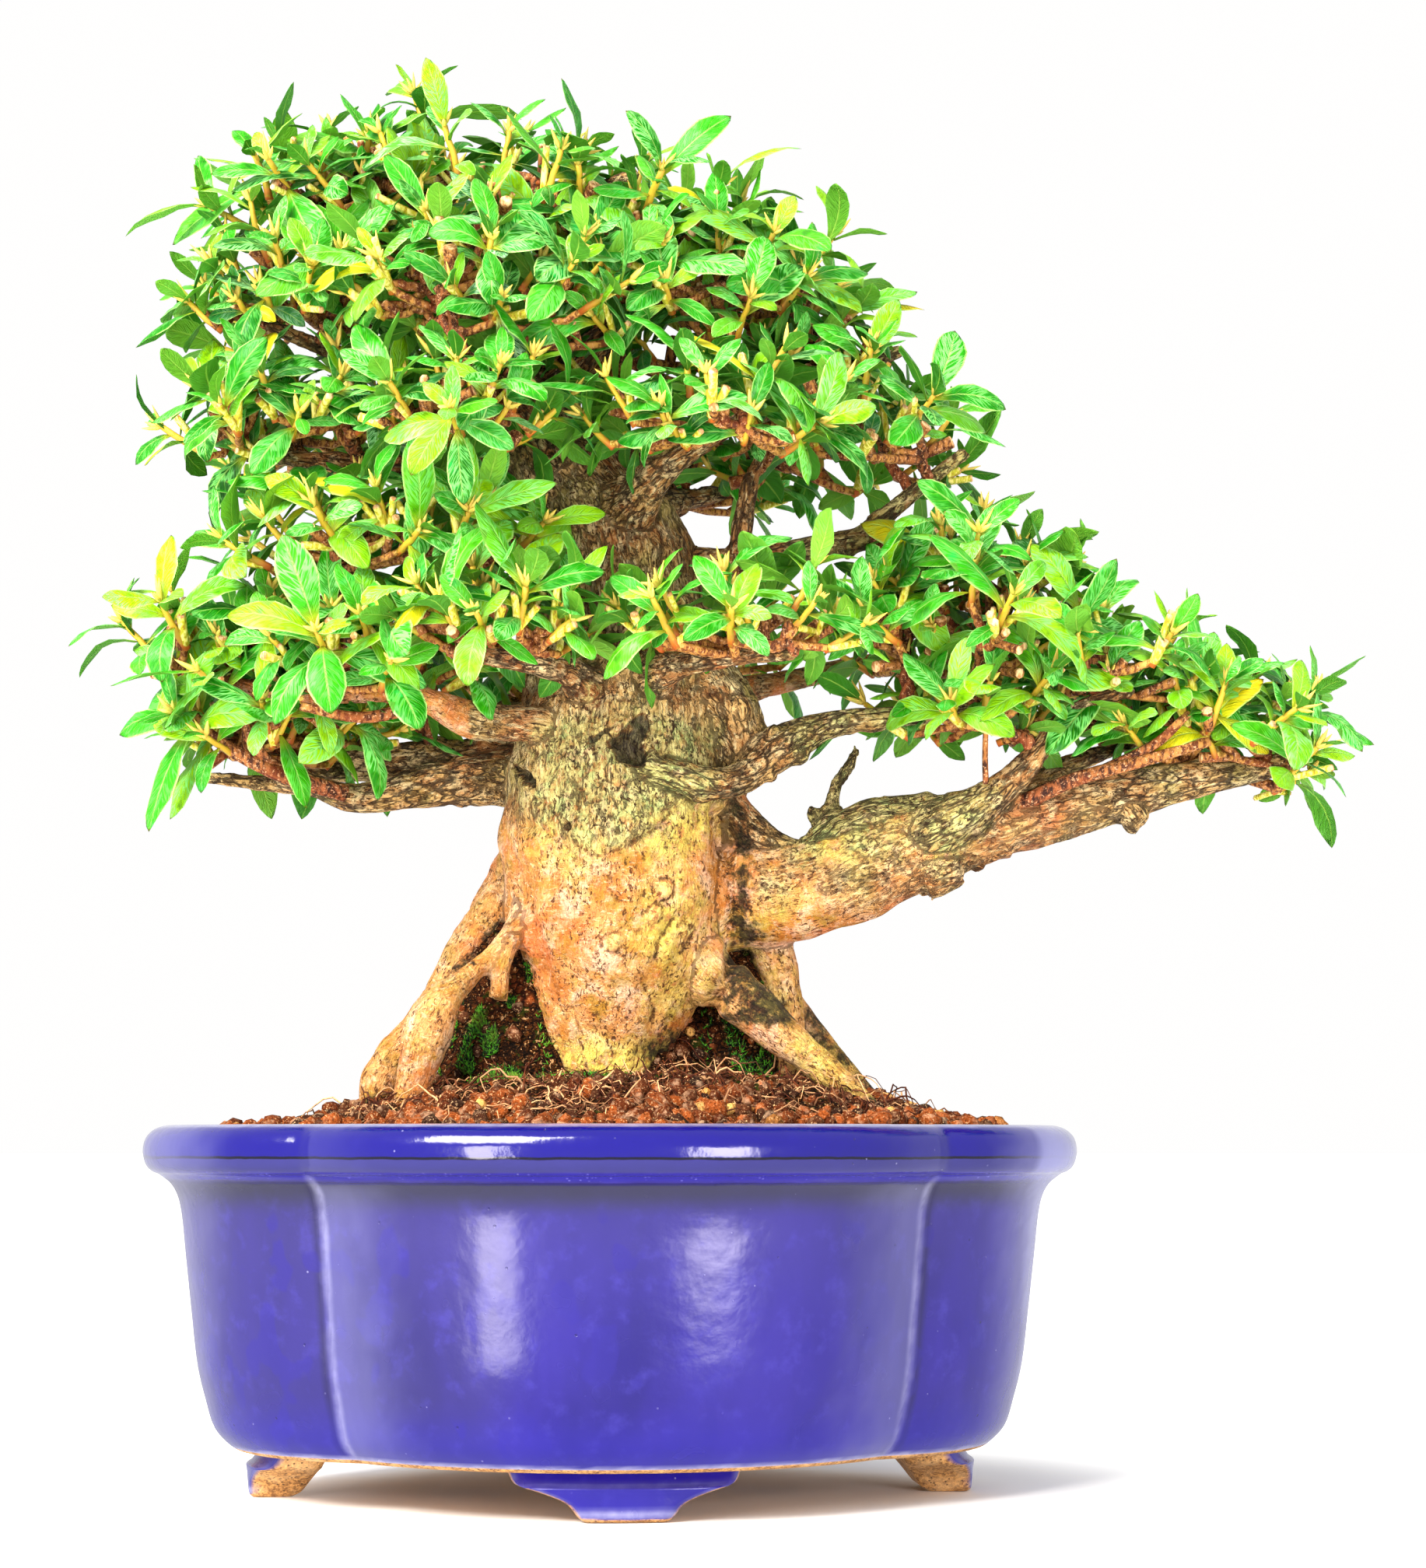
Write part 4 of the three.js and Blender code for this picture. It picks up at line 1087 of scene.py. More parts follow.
BRANCHES = {
    "low_right": [
        (16, 2, 172, 20), (40, 0, 171, 15.5), (55, -3, 172, 14.2), (71, -5, 178, 14.5),
        (87, -6, 184.5, 13), (107, -6, 190.5, 11), (122, -5, 194.5, 10), (145, -2, 200, 8.2),
        (172, 0, 205, 5.4), (200, 2, 210, 2.4),
    ],
    "low_right_swell": [(90, -8, 178, 9.6), (100, -8, 180.5, 7.6)],
    "saddle": [(26, -2, 202, 9), (36, -3, 190, 7), (47, -4, 182.5, 6), (60, -6, 180, 6)],
    "low_right_hump": [(58, -6, 180, 7), (70, -9, 189.5, 7), (93, -8, 194, 6.5)],
    "low_right_front": [
        (89, -12, 186, 7.5), (101, -17, 192, 6.8), (112, -19, 200, 4.8), (121, -20, 209, 3.4),
        (131, -20, 222, 2.2), (150, -20, 229, 1.8),
    ],
    "low_right_back": [(96, 0, 191, 7), (118, 12, 204, 4.2), (160, 24, 221, 2)],
    "low_right_knob": [(146, -3, 200, 5), (153.5, -6, 191.5, 3.7)],
    "low_right_wart": [(127, -4, 194, 6), (131, -6, 186.8, 2.4)],
    "old_cut_twig": [
        (62, -6, 182, 2.6), (60.5, -6, 190, 2.9), (63.6, -6, 197, 2.1), (64.8, -6, 203, 1.6),
        (68.4, -6, 208, 1.8), (71, -6, 214, 1.1),
    ],
    "old_cut_twig_knob": [(61.5, -6, 193, 2.2), (56.6, -7, 194.6, 2.0)],
    "low_left": [
        (-14, 6, 203, 10.5), (-36, 8, 206.5, 7.4), (-60, 5, 202.5, 5.6), (-76, 2, 199.5, 4.4),
        (-96, -1, 206.5, 2.8), (-116, -3, 219, 1.8),
    ],
    "low_left_tip": [(-84, 0, 202, 3), (-122, 8, 206.5, 1.7)],
    "left_front": [
        (-6, -12, 214, 9), (-21, -22, 218, 5.2), (-40, -26, 219, 5), (-57, -28, 226, 3.6),
        (-92, -26, 227, 2.8), (-124, -19, 233, 1.7),
    ],
    "left_under": [
        (-20, 14, 213, 8), (-48, 17, 212.5, 6.4), (-76, 15, 211.5, 5.6), (-98, 10, 210.5, 3.2),
        (-118, 8, 216, 1.8),
    ],
    "right_shoulder": [
        (16, -4, 240, 11), (31, -8, 228, 9), (37.5, -12, 214, 7.4), (38, -15, 207, 5.6),
    ],
    "left_back": [(-8, 10, 222, 11), (-33, 34, 228, 5), (-88, 52, 242, 2)],
    "right_loop": [
        (0, -22, 208, 6), (14, -30, 204, 4.8), (32, -25, 201, 5.2), (47, -15, 212, 6.4),
        (62, -14, 219, 4.4), (104, -20, 223, 1.9),
    ],
    "right_back": [(8, 12, 228, 11), (35, 38, 236, 5), (92, 52, 251, 2)],
    "front_left": [(-4, -14, 226, 8), (-14, -38, 232, 4), (-44, -58, 234, 2)],
    "front_right": [(8, -14, 230, 8), (19, -38, 233, 4), (52, -58, 234, 2)],
    "middle_right_stub": [(8, 2, 266, 10), (30, 0, 268.5, 4.8), (75, -3, 276.5, 3.6)],
    "middle_right_up": [(36, -1, 268, 3.6), (40, -5, 292, 2.4), (44, -6, 303, 1.7)],
    "middle_right_out": [(67, -2, 273, 3.2), (104, 0, 303, 1.8)],
    "middle_left": [(-8, 4, 294, 11), (-36, 2, 297, 5.2), (-110, -4, 301, 1.8)],
    "middle_right": [(-6, 4, 286, 12), (16, 4, 303, 6.2), (86, 4, 335, 1.9)],
    "upper_front_left": [(-16, 0, 298, 10), (-25, -30, 308, 4), (-40, -58, 318, 1.9)],
    "upper_front_right": [(0, -4, 280, 12), (15, -34, 290, 4), (38, -58, 301, 1.9)],
    "upper_back_left": [(-16, 8, 298, 10), (-29, 36, 310, 4), (-50, 64, 321, 1.9)],
    "upper_back_right": [(0, 8, 282, 12), (17, 38, 295, 4), (50, 62, 306, 1.9)],
    "crown_left": [(-30, 4, 318, 9), (-54, 4, 323, 4), (-104, 0, 341, 1.9)],
    "crown_right": [(-26, 4, 312, 10), (-8, 4, 334, 5.2), (14, 4, 349, 4), (52, 4, 364, 1.9)],
    "crown_top_left": [(-42, 2, 345, 6), (-62, 0, 356, 3.4), (-98, 0, 367, 1.8)],
    "crown_top_right": [(-46, 2, 356, 5), (-30, 0, 371, 3.4), (6, 0, 388, 1.8)],
    "crown_front": [(-38, 2, 334, 7), (-30, -38, 358, 1.9)],
    "crown_back": [(-41, 4, 340, 7), (-34, 42, 361, 1.9)],
}


# %% Tubes and samples along limbs
def carried(path, lean=(0.3, -1.0, 0.2)):
    """Frames along paths: the side vector is carried from
    stop to stop and kept square to the way ahead."""
    ahead = unit(np.gradient(path, axis=-2))
    side = np.empty_like(ahead)
    now = np.broadcast_to(np.array(lean, float), ahead[..., 0, :].shape)
    for i in range(path.shape[-2]):
        now = unit(now - ahead[..., i, :] * (now * ahead[..., i, :]).sum(-1, keepdims=True))
        side[..., i, :] = now
    return ahead, side, np.cross(ahead, side)


def limb_run(limb, steps=7):
    """A limb's points, turned with the tree and run through smoothly: positions and radii."""
    run = smooth_run(limb, steps)
    return turned(run[:, :3]), run[:, 3]


def limb_tube(limb, sides):
    """Rings of radius r (1 + 0.06 noise) along a limb, closed at both ends."""
    path, radius = limb_run(limb)
    _, side, across = carried(path)
    ring = around(np.arange(sides) / sides * 2 * np.pi, side, across)
    swell = 1 + 0.06 * lumps(path[:, None] + 9 * ring, 9, len(limb))[..., None]
    return shut(path[:, None] + radius[:, None, None] * swell * ring, path[0], path[-1])


TRUNK_SIDES, LIMB_SIDES = 44, 20
LIMBS = [("trunk", TRUNK)] + list(ROOTS.items()) + list(BRANCHES.items())
wood_shape = joined(
    [limb_tube(limb, TRUNK_SIDES if name == "trunk" else LIMB_SIDES) for name, limb in LIMBS]
)
print("limbs", len(LIMBS), "tube points", len(wood_shape[0]))

# %% Grown together
VOXEL = 1.29


def relaxed(points, ends, rounds):
    """Each point moves half way to the mean of its neighbours,
    then back by a little more, so size is kept."""
    many = np.maximum(np.bincount(ends.ravel(), minlength=len(points)), 1)[:, None]
    for share in (0.55, -0.57) * rounds:
        total = np.stack(
            [
                np.bincount(ends[:, 0], points[ends[:, 1], k], len(points))
                + np.bincount(ends[:, 1], points[ends[:, 0], k], len(points))
                for k in range(3)
            ],
            -1,
        )
        points = points + share * (total / many - points)
    return points


def set_points(mesh, points):
    """Moves the mesh's points to new places in mm."""
    flat = (points / 1000 + POT_MIDDLE).astype(np.float32).ravel()
    mesh.vertices.foreach_set("co", flat)
    mesh.update()


wood_mesh = applied(
    as_mesh("wood", wood_shape[0], wood_shape[1:]),
    ("REMESH", {"mode": "VOXEL", "voxel_size": VOXEL / 1000, "use_smooth_shade": True}),
)
wood_ends = np.empty(len(wood_mesh.edges) * 2, np.int32)
wood_mesh.edges.foreach_get("vertices", wood_ends)
wood_ends = wood_ends.reshape(-1, 2)
set_points(wood_mesh, relaxed(points_of(wood_mesh), wood_ends, 5))
print("wood", len(wood_mesh.vertices), "points")


# %% Where each point lies on its limb
RADIUS, AHEAD, SIDE, ACROSS = 3, slice(4, 7), slice(7, 10), slice(10, 13)
ALONG, STRINGY, LIMB = 13, 14, 15
LIMB_SHIFT = 37


def sampled(limbs):
    """A row for each stop on all limbs: its place in columns 0 to 2, then the columns named above."""
    rows = []
    for place_in_list, (name, limb) in enumerate(limbs):
        path, radius = limb_run(limb)
        ahead, side, across = carried(path)
        along = np.concatenate([[0], np.cumsum(np.linalg.norm(np.diff(path, axis=0), axis=1))])
        if name == "trunk":
            stringy = 0.15 + 0.6 * ease((path[:, 2] - 196) / 40)
        elif name in ROOTS:
            stringy = np.full(len(path), 0.25)
        else:
            stringy = ease((15 - radius) / 8)
        number = np.full(len(path), float(place_in_list))
        rows.append(np.column_stack([path, radius, ahead, side, across, along, stringy, number]))
    return np.concatenate(rows)


def on_limb(points, stops, at_once=4000):
    """The nearest stop by distance less radius, then the
    point in that stop's own frame, moved per limb."""
    nearest = np.empty(len(points), int)
    for start in range(0, len(points), at_once):
        some = points[start : start + at_once]
        gap = np.sqrt(((some[:, None] - stops[None, :, :3]) ** 2).sum(-1)) - stops[None, :, RADIUS]
        nearest[start : start + at_once] = gap.argmin(1)
    at = stops[nearest]
    away = points - at[:, :3]
    ahead, one, two = ((away * at[:, way]).sum(1) for way in (AHEAD, SIDE, ACROSS))
    grain = np.stack([at[:, ALONG] + ahead + LIMB_SHIFT * at[:, LIMB], one, two], -1)
    return grain, at[:, RADIUS], at[:, STRINGY]


stops = sampled(LIMBS)
wood_points = points_of(wood_mesh)
grain, girth, stringy = on_limb(wood_points, stops)
print("stops", len(stops), "girth from", round(girth.min(), 1), "to", round(girth.max(), 1))

# %% [markdown]
# ## Scars of an old trunk
# What makes this trunk look old is a handful of marks: a deep cut hole under the first branches, a
# ledge where old bark overlaps the smooth wood, knots, cracks and the groove beside the overhanging
# right lobe. They are lines and spots on the front, in the tree's own x and z, and each sinks or
# raises the surface round it.

# %% Marks on the front of the trunk
CREASES = [  # depth, width, darkness, line of (x, z)
    (1.5, 1.2, 0.74, [(-9.5, 182.5), (-5.5, 179.6), (-2.1, 178.7), (3.3, 181.6), (8.1, 184.6),
     (13.1, 188.4), (17.1, 191.9)]),
    (0.9, 1.0, 0.42, [(-24, 189.5), (-17.5, 186.0), (-12.6, 183.4), (-9.5, 180.9)]),
    (3.8, 2.2, 0.6, [(31.2, 192.5), (33.4, 179.8), (35.2, 168.8), (35.6, 156.3), (33.4, 146.0),
     (29, 138)]),
    (1.7, 2.8, 0.0, [(-27.0, 178.0), (-25.0, 168.4), (-22.8, 161.2), (-20.4, 146.4)]),
    (0.8, 0.9, 0.62, [(-24.5, 168.0), (-23.0, 162.0), (-21.0, 158.5)]),
    (1.2, 2.2, 0.0, [(-14.0, 176.0), (-12.0, 160.0), (-13.0, 142.0)]),
    (1.2, 0.9, 0.85, [(18.0, 161.8), (15.0, 157.1), (12.6, 150.8)]),
    (1.1, 0.9, 0.75, [(20.4, 162.2), (22.0, 157.1), (19.8, 152.3)]),
    (1.0, 0.9, 0.75, [(10.2, 142.9), (11.7, 136.5), (10.8, 133)]),
    (0.9, 1.0, 0.75, [(-0.5, 170.4), (-0.2, 168.4), (1.1, 166.6), (4.0, 166.0)]),
    (0.8, 1.0, 0.5, [(-20.5, 197.0), (-15.0, 194.0), (-12.6, 188.0)]),
    (0.9, 1.2, 0.5, [(-18.0, 219.0), (-14.0, 212.0), (-6.0, 207.0)]),
    (1.0, 1.2, 0.6, [(12.0, 214.0), (18.0, 207.0), (26.0, 204.0)]),
]
HOLES = [  # middle (x, z), half width, half height, lean, depth
    (4.9, 210.5, 4.4, 5.6, 0.35, 6.0), (8.6, 216.5, 2.6, 3.6, 0.1, 2.5),
    (-24.6, 203.6, 1.5, 5.6, 0.75, 3.0), (-12.6, 187.6, 1.4, 1.9, 0.3, 2.2),
    (-3.5, 214.0, 3.6, 1.1, 0.5, 1.4),
]
KNOTS = [  # middle (x, z), radius, height
    (15.0, 170.4, 2.6, 1.0), (0.3, 155.6, 2.6, 1.2), (12.4, 164.0, 2.4, 0.6),
    (21.0, 159.0, 1.9, 0.5), (-6.0, 226.0, 3.0, 1.2),
]


def from_line(x, z, line):
    """Distance from a run of straight pieces."""
    best = np.full(x.shape, 1e3)
    for (x0, z0), (x1, z1) in zip(line, line[1:]):
        dx, dz = x1 - x0, z1 - z0
        t = np.clip(((x - x0) * dx + (z - z0) * dz) / (dx * dx + dz * dz), 0, 1)
        best = np.minimum(best, np.hypot(x - x0 - t * dx, z - z0 - t * dz))
    return best


def marks(points):
    """How far the front of the trunk is moved out, how dark the marks leave it, and where knots are.
    The darkness is painted shade inside the holes; in the creases and the rings round the knots it is
    partly dark bark, partly painted shade.
    """
    tree = turned_back(points)
    x, z = tree[:, 0] + 1.1 * lumps(points, 4, 50), tree[:, 2] + 1.1 * lumps(points, 4, 51)
    front = ease((-tree[:, 1] - 4) / 8)
    out, dark, knot = np.zeros((3, len(points)))
    for depth, width, black, line in CREASES:
        near = np.exp(-((from_line(x, z, line) / width) ** 2))
        out, dark = out - depth * near, np.maximum(dark, black * near)
    for at_x, at_z, wide, high, lean, depth in HOLES:
        c, s = math.cos(lean), math.sin(lean)
        dx, dz = x - at_x, z - at_z
        away = np.hypot((dx * c + dz * s) / wide, (dz * c - dx * s) / high)
        away += 0.16 * lumps(points, 2.6, 52)
        out += 0.16 * depth * np.exp(-(((away - 1.3) / 0.3) ** 2)) - depth * ease((1.2 - away) / 0.7)
        dark = np.maximum(dark, ease((1.2 - away) / 0.28))
    for at_x, at_z, radius, height in KNOTS:
        away = np.hypot(x - at_x, z - at_z) / radius
        ring = np.exp(-(((away - 1.15) / 0.3) ** 2))
        out += height * (np.exp(-(away**4)) - 0.7 * ring - 0.5 * np.exp(-((away / 0.25) ** 2)))
        dark = np.maximum(dark, 0.8 * ring)
        knot = np.maximum(knot, ease(1.3 - away))
    return out * front, dark * front, knot * front


def turned_back(points):
    """Points in the tree's own frame: the turn undone."""
    c, s = math.cos(TREE_TURN), math.sin(TREE_TURN)
    x, y = points[:, 0], points[:, 1]
    return np.stack([x * c + y * s, y * c - x * s, points[:, 2]], -1)


def bark(points, grain, girth, stringy):
    """Outward moves: broad lumps, fibres stretched along the
    limb, and pits, each no more than the limb can bear."""
    bear = np.clip(girth / 9, 0.22, 1)
    strands = lumps(grain * (0.16, 1, 1), 2.6, 61) + 0.6 * lumps(grain * (0.3, 1, 1), 1.5, 62)
    ropes = 1 - np.abs(lumps(grain * (0.12, 1, 1), 4.6, 63)) * 2
    swells = 0.8 * lumps(points, 11, 64) + 0.4 * lumps(points, 5, 65)
    flutes = lumps(grain * (0.25, 1, 1), 8.5, 67)
    knobs = ease((lumps(points, 7.5, 68) - 0.42) / 0.25)
    pits = -ease((lumps(points, 3.2, 66) - 0.35) / 0.3)
    plain = swells + 0.85 * flutes + 0.35 * pits + 0.2 * strands
    old = 1.25 * swells + 0.65 * strands + 0.6 * ropes + 0.5 * pits + 1.8 * knobs
    return bear * (plain + (old - plain) * stringy)


set_front, mark_dark, knots = marks(wood_points)
moved = bark(wood_points, grain, girth, stringy) + set_front
set_points(wood_mesh, wood_points + normals_of(wood_mesh) * moved[:, None])
print("bark moves the wood by", round(moved.min(), 1), "to", round(moved.max(), 1), "mm")


# %% Colour zones of the wood
NOTCH_LINE = [(35.5, 198), (37.5, 184), (38.5, 174), (37, 166)]
SHADE_LINE = [(37, 162), (37, 150), (34, 142), (42, 142), (46.5, 136), (36, 134), (25, 128), (14, 124)]
LEDGE_X = [-40, -24, -12.6, -9.5, -2.5, 3.3, 10, 17, 25, 40]
LEDGE_Z = [196, 190, 184, 181, 178.5, 181.6, 186, 191.5, 194, 196]


def zones(points, girth):
    """algae: base, ledge and shaded right side. warm: orange patches. dark: damp near the soil,
    partly painted shadow and partly stain under the right lobe, painted shade in the notch beside
    the trunk and on the right root's far part, a stain, and the old cut twig."""
    x, y, z = turned_back(points).T
    cloud = lumps(points, 16, 71) + 0.5 * lumps(points, 7, 72) + 0.3 * lumps(points, 3, 73)
    base = ease((136 - z) / 14) * ease((30 - np.abs(x + 2)) / 10)
    ledge = ease((z - 175 + 6 * cloud) / 16) * ease((226 - z) / 12) * ease((34 - np.abs(x - 4)) / 14)
    right = ease((x - 2) / 12) * ease((z - 128) / 10) * ease((186 - z) / 24) * ease((60 - x) / 12)
    limb = ease((x - 45) / 10) * ease((125 - x) / 30) * ease((z - 172) / 14)
    root = ease((x - 44) / 10) * ease((136 - z) / 10)
    algae = np.maximum.reduce([1.2 * base, ledge, 0.6 * right, 0.75 * limb, 0.9 * root])
    algae = np.clip(algae + 0.5 * cloud - 0.2, 0, 1)
    warm = ease(0.2 + 0.9 * lumps(points, 13, 74) + 0.4 * lumps(points, 5, 75))
    damp = ease((5 + 2.5 * cloud - (z - soil_height(*points[:, :2].T))) / 5)
    rag = 4 * lumps(points, 5, 78) + 3 * lumps(points, 2.4, 79)
    # Under the right lobe: partly a painted shadow, partly a dark stain.
    lobe = (
        ease((11.0 + 1.2 * rag - from_line(x, z, SHADE_LINE)) / 12)
        * ease((18 - y) / 6)
        * ease((y + 27) / 5)
    )
    lobe *= np.where(z > 140, ease((x - 30) / 5), 1)
    # Painted shade in the notch beside the trunk and on the far part of the right root.
    notch = 0.9 * ease((6.0 + 0.8 * rag - from_line(x, z, NOTCH_LINE)) / 7) * (y < 8)
    behind = 0.85 * ease((y - 2) / 4) * ease((x - 50) / 5) * ease((144 - z) / 8) * ease(0.7 + 0.08 * rag)
    stain = 0.8 * ease((4.5 + rag - np.hypot(x + 42, z - 151)) / 3) * (y < 6)
    dead = ease((4.5 - girth) / 1.5) * (x > 52) * (x < 74) * (z > 189) * (z < 217) * 0.62
    warm = np.maximum(warm * ease((girth - 2) / 6), 0.9 * ease((7 - girth) / 3.5) * (z > 212))
    dark = np.maximum.reduce([damp, 0.95 * lobe, notch, stain, behind, dead])
    return np.stack([algae, warm, np.clip(dark, 0, 1)], -1)


def roughness_zone(points, stringy):
    """1 over the ledge of old bark, 0 on the smooth wood
    under it, and as stringy as the branches elsewhere."""
    x, _, z = turned_back(points).T
    over = z - np.interp(x, LEDGE_X, LEDGE_Z) + 5.0 * lumps(points, 6, 76) + 2.5 * lumps(points, 2.4, 78)
    trunk = (np.abs(x) < 40) & (z > 140)
    branch = 0.85 * ease((x - 38) / 6) * ease((z - 160) / 12) * ease(0.8 + 1.2 * lumps(points, 9, 77))
    return np.maximum.reduce([stringy, np.where(trunk, ease(0.5 + over / 14.0), 0.0), branch])


set_trait(wood_mesh, "grain", grain)
set_trait(wood_mesh, "zones", zones(wood_points, girth))
set_trait(wood_mesh, "kinds", np.stack([stringy, roughness_zone(wood_points, stringy), knots], -1))
set_trait(wood_mesh, "mark", mark_dark)


# %% Bark colours
def bark_finish():
    """Cream and tan skin with dark flecks where smooth, and painted light and shade on its wrinkles;
    broken black lines over grey-brown strands where rough; algae, rust, scars with painted shade
    in their holes and creases, painted shade and shadow with damp stains, and knots by zone."""
    f = Finish("old_bark", Specular_IOR_Level=0.25)
    at, grain_at = f.place(), f.trait("grain", out=1)
    algae, warm, dark = f.parts(f.trait("zones", out=1))
    stringy_here, rough, knot = f.parts(f.trait("kinds", out=1))
    mark = f.trait("mark")
    slow = f.clouds(at, 9, 4, 0.6)
    patch = f.clouds(at, 8.5, 5, 0.7, 0.3)
    moist = f.clouds(at, 3.0, 5, 0.7)
    ragged = f.clouds(at, 1.6, 4, 0.7) - 0.5
    stretched = f.stretched(grain_at, (0.22, 1.0, 1.0))
    dashed = f.stretched(grain_at, (0.6, 1.0, 1.0))
    braided = f.stretched(grain_at, (0.3, 1.0, 1.0))
    skin = f.mix(slow.between(0.35, 0.62), "b86c12", "dc9a58")
    skin = f.coats(
        skin,
        (warm * 0.75, "d8662c"),
        (patch.between(0.48, 0.66) * 0.7, "f4caa8"),
        (patch.between(0.45, 0.32) * 0.6, "8a4a04"),
    )
    strand = f.clouds(stretched, 1.4, 5, 0.7, 0.8)
    fibre = f.clouds(dashed, 0.8, 4, 0.7, 0.5)
    skin = f.mix(fibre.between(0.46, 0.36) * 0.5, skin, "b96e22")
    wrinkled = f.stretched(grain_at, (1.8, 0.6, 0.6))
    wrinkle_shading = f.clouds(wrinkled, 1.6, 4, 0.7, 0.8)
    # Painted light and shade on the wrinkles: pale on their tops, darker in their folds.
    skin = f.coats(
        skin,
        (wrinkle_shading.between(0.46, 0.36) * 0.55, "a84c10"),
        (wrinkle_shading.between(0.56, 0.66) * 0.5, "fbe2b8"),
    )
    old = f.mix(strand.between(0.36, 0.5), "7a5220", "dcb06c")
    old = f.coats(
        old,
        (f.clouds(at, 13, 3).between(0.42, 0.62) * 0.6, "b0622c"),
        (f.clouds(at, 19, 3).between(0.46, 0.62) * 0.6, "8c8a4a"),
        (warm * 0.6, "9c4c24"),
        (strand.between(0.52, 0.64) * 0.7, "f8e2a8"),
        (f.clouds(at, 6.5, 4, 0.65).between(0.5, 0.62) * 0.6, "ead29a"),
        (f.clouds(at, 5.5, 4, 0.65).between(0.44, 0.34) * 0.6, "54401c"),
    )
    body = f.mix(rough, skin, old)
    green = f.mix(moist.between(0.38, 0.56), "82801c", "e4cc50")
    green = f.mix(rough, green, f.mix(moist.between(0.38, 0.6), "6f7a2c", "dcd684"))
    olive = f.clouds(at, 7, 4, 0.65).between(0.52, 0.64) * (1 - rough)
    body = f.coats(
        body,
        (olive * 0.5, "8a7a10"),
        (algae * moist.between(0.34, 0.52) * 0.75, green),
    )
    lichen = f.clouds(at, 5.0, 5, 0.7).between(0.54, 0.6) * algae * rough
    body = f.mix(lichen * 0.6, body, "b4cc7c")
    fleck = f.clouds(dashed, 1.0, 4, 0.65, 0.7).between(0.55, 0.61)
    fleck = fleck * f.clouds(at, 6.5, 3).between(0.38, 0.56)
    body = f.mix(fleck * 0.9, body, "4a2004")
    flake = f.cells(f.stirred(dashed, 2.2, 3.4), 3.0, "DISTANCE_TO_EDGE").between(0.075, 0.02)
    broad = f.cells(f.stirred(dashed, 3.5, 5.0), 6.5, "DISTANCE_TO_EDGE").between(0.06, 0.015)
    flake = (flake * f.clouds(at, 8, 3).between(0.42, 0.54)).most(broad * 0.8)
    stroke = f.clouds(braided, 1.1, 4, 0.65, 1.0).between(0.56, 0.62)
    ink = (flake * f.clouds(at, 2.6, 3, 0.6).between(0.44, 0.56)).most(stroke * 0.9) * rough
    spots = f.clouds(at, 1.2, 3, 0.6).between(0.64, 0.68) * f.clouds(at, 9, 2).between(0.42, 0.6)
    furrow = f.cells(f.stirred(braided, 2.0, 2.2), 2.7, "DISTANCE_TO_EDGE").between(0.11, 0.03)
    crack = (furrow * stringy_here * f.clouds(at, 5, 3).between(0.36, 0.5)).most(ink).most(spots * 0.8)
    body = f.coats(
        body,
        (crack * 0.88, "281606"),
        (knot * 0.6, f.mix(moist.between(0.42, 0.58), "a04c14", "f4dc84")),
    )
    # Scars: the holes' insides are painted shade, the crease lines partly painted shade.
    scar_shade = (mark + 1.6 * ragged).between(0.38, 0.76)
    hollow = f.mix(moist.between(0.45, 0.7), "1a1008", "544a3e")
    split = f.mix(moist.between(0.42, 0.6), "2a1004", "6e3a10")
    body = f.mix(scar_shade * 0.84, body, f.mix(mark.between(0.7, 0.95), split, hollow))
    # Painted shade and shadow, with damp stains, wherever the dark zone is.
    shade_and_stain = f.mix(moist.between(0.42, 0.62), "0c0803", "363214")
    body = f.mix((dark + 1.5 * ragged).between(0.3, 0.95) * 0.95, body, shade_and_stain)
    f.wear(Base_Color=body, Roughness=0.68 + 0.25 * strand)
    fine = strand * (0.2 + 1.1 * rough) + 0.6 * fibre + 0.5 * moist - fleck * 0.4 - crack * 1.2
    f.wear(Normal=f.relief(fine + 0.8 * patch, 1.2, 1.0))
    return f


piece("trunk_roots_and_branches", wood_mesh, bark_finish(), ["trunk_and_branches"])

# %% [markdown]
# ## Where the shoots grow
# The foliage of a trained azalea is kept in pads, each the top of a flat ball over a branch. The
# frame has one spray for several real shoots, so the same pads are used again here with more and
# smaller shoots. They lie on a golden-angle spiral, which spaces points evenly. A main twig runs
# from the limb to each of the frame's sprays, and the finer twigs fork from it. A few thick twigs
# that show under the foliage are listed one by one, and cut stubs stand where the tree was pruned.

# %% Pads
PADS = [  # name, middle, reach, sprays in the frame, side in degrees
    ("crown", (-44, 0, 358), (44, 38, 28), 5, 170),
    ("crown_left", (-94, 0, 338), (20, 32, 18), 3, 190),
    ("crown_right", (24, 0, 328), (34, 36, 26), 4, 10),
    ("upper_front", (-38, -44, 334), (30, 12, 12), 3, 250),
    ("upper_back", (-34, 48, 338), (28, 12, 12), 2, 80),
    ("middle_left", (-94, 0, 301), (22, 32, 12), 3, 180),
    ("middle_right", (62, 0, 300), (28, 38, 14), 4, -20),
    ("middle_front_left", (-42, -54, 296), (18, 10, 8), 2, 230),
    ("middle_front_right", (26, -52, 294), (20, 10, 8), 2, 300),
    ("middle_back", (-12, 56, 298), (46, 12, 8), 3, 60),
    ("low_left", (-72, -6, 230), (22, 34, 10), 3, 250),
    ("low_left_tip", (-97, 2, 217), (16, 24, 12), 3, 180),
    ("low_front_left", (-30, -56, 236), (16, 8, 4), 2, 230),
    ("low_front_right", (36, -56, 236), (20, 8, 4), 2, 310),
    ("low_right", (100, -6, 240), (26, 34, 12), 3, 280),
    ("low_right_outer", (144, 0, 228), (18, 26, 10), 2, 100),
    ("low_right_tip", (172, 0, 213), (18, 16, 8), 2, -10),
    ("low_back", (-2, 56, 238), (50, 12, 6), 2, 100),
]
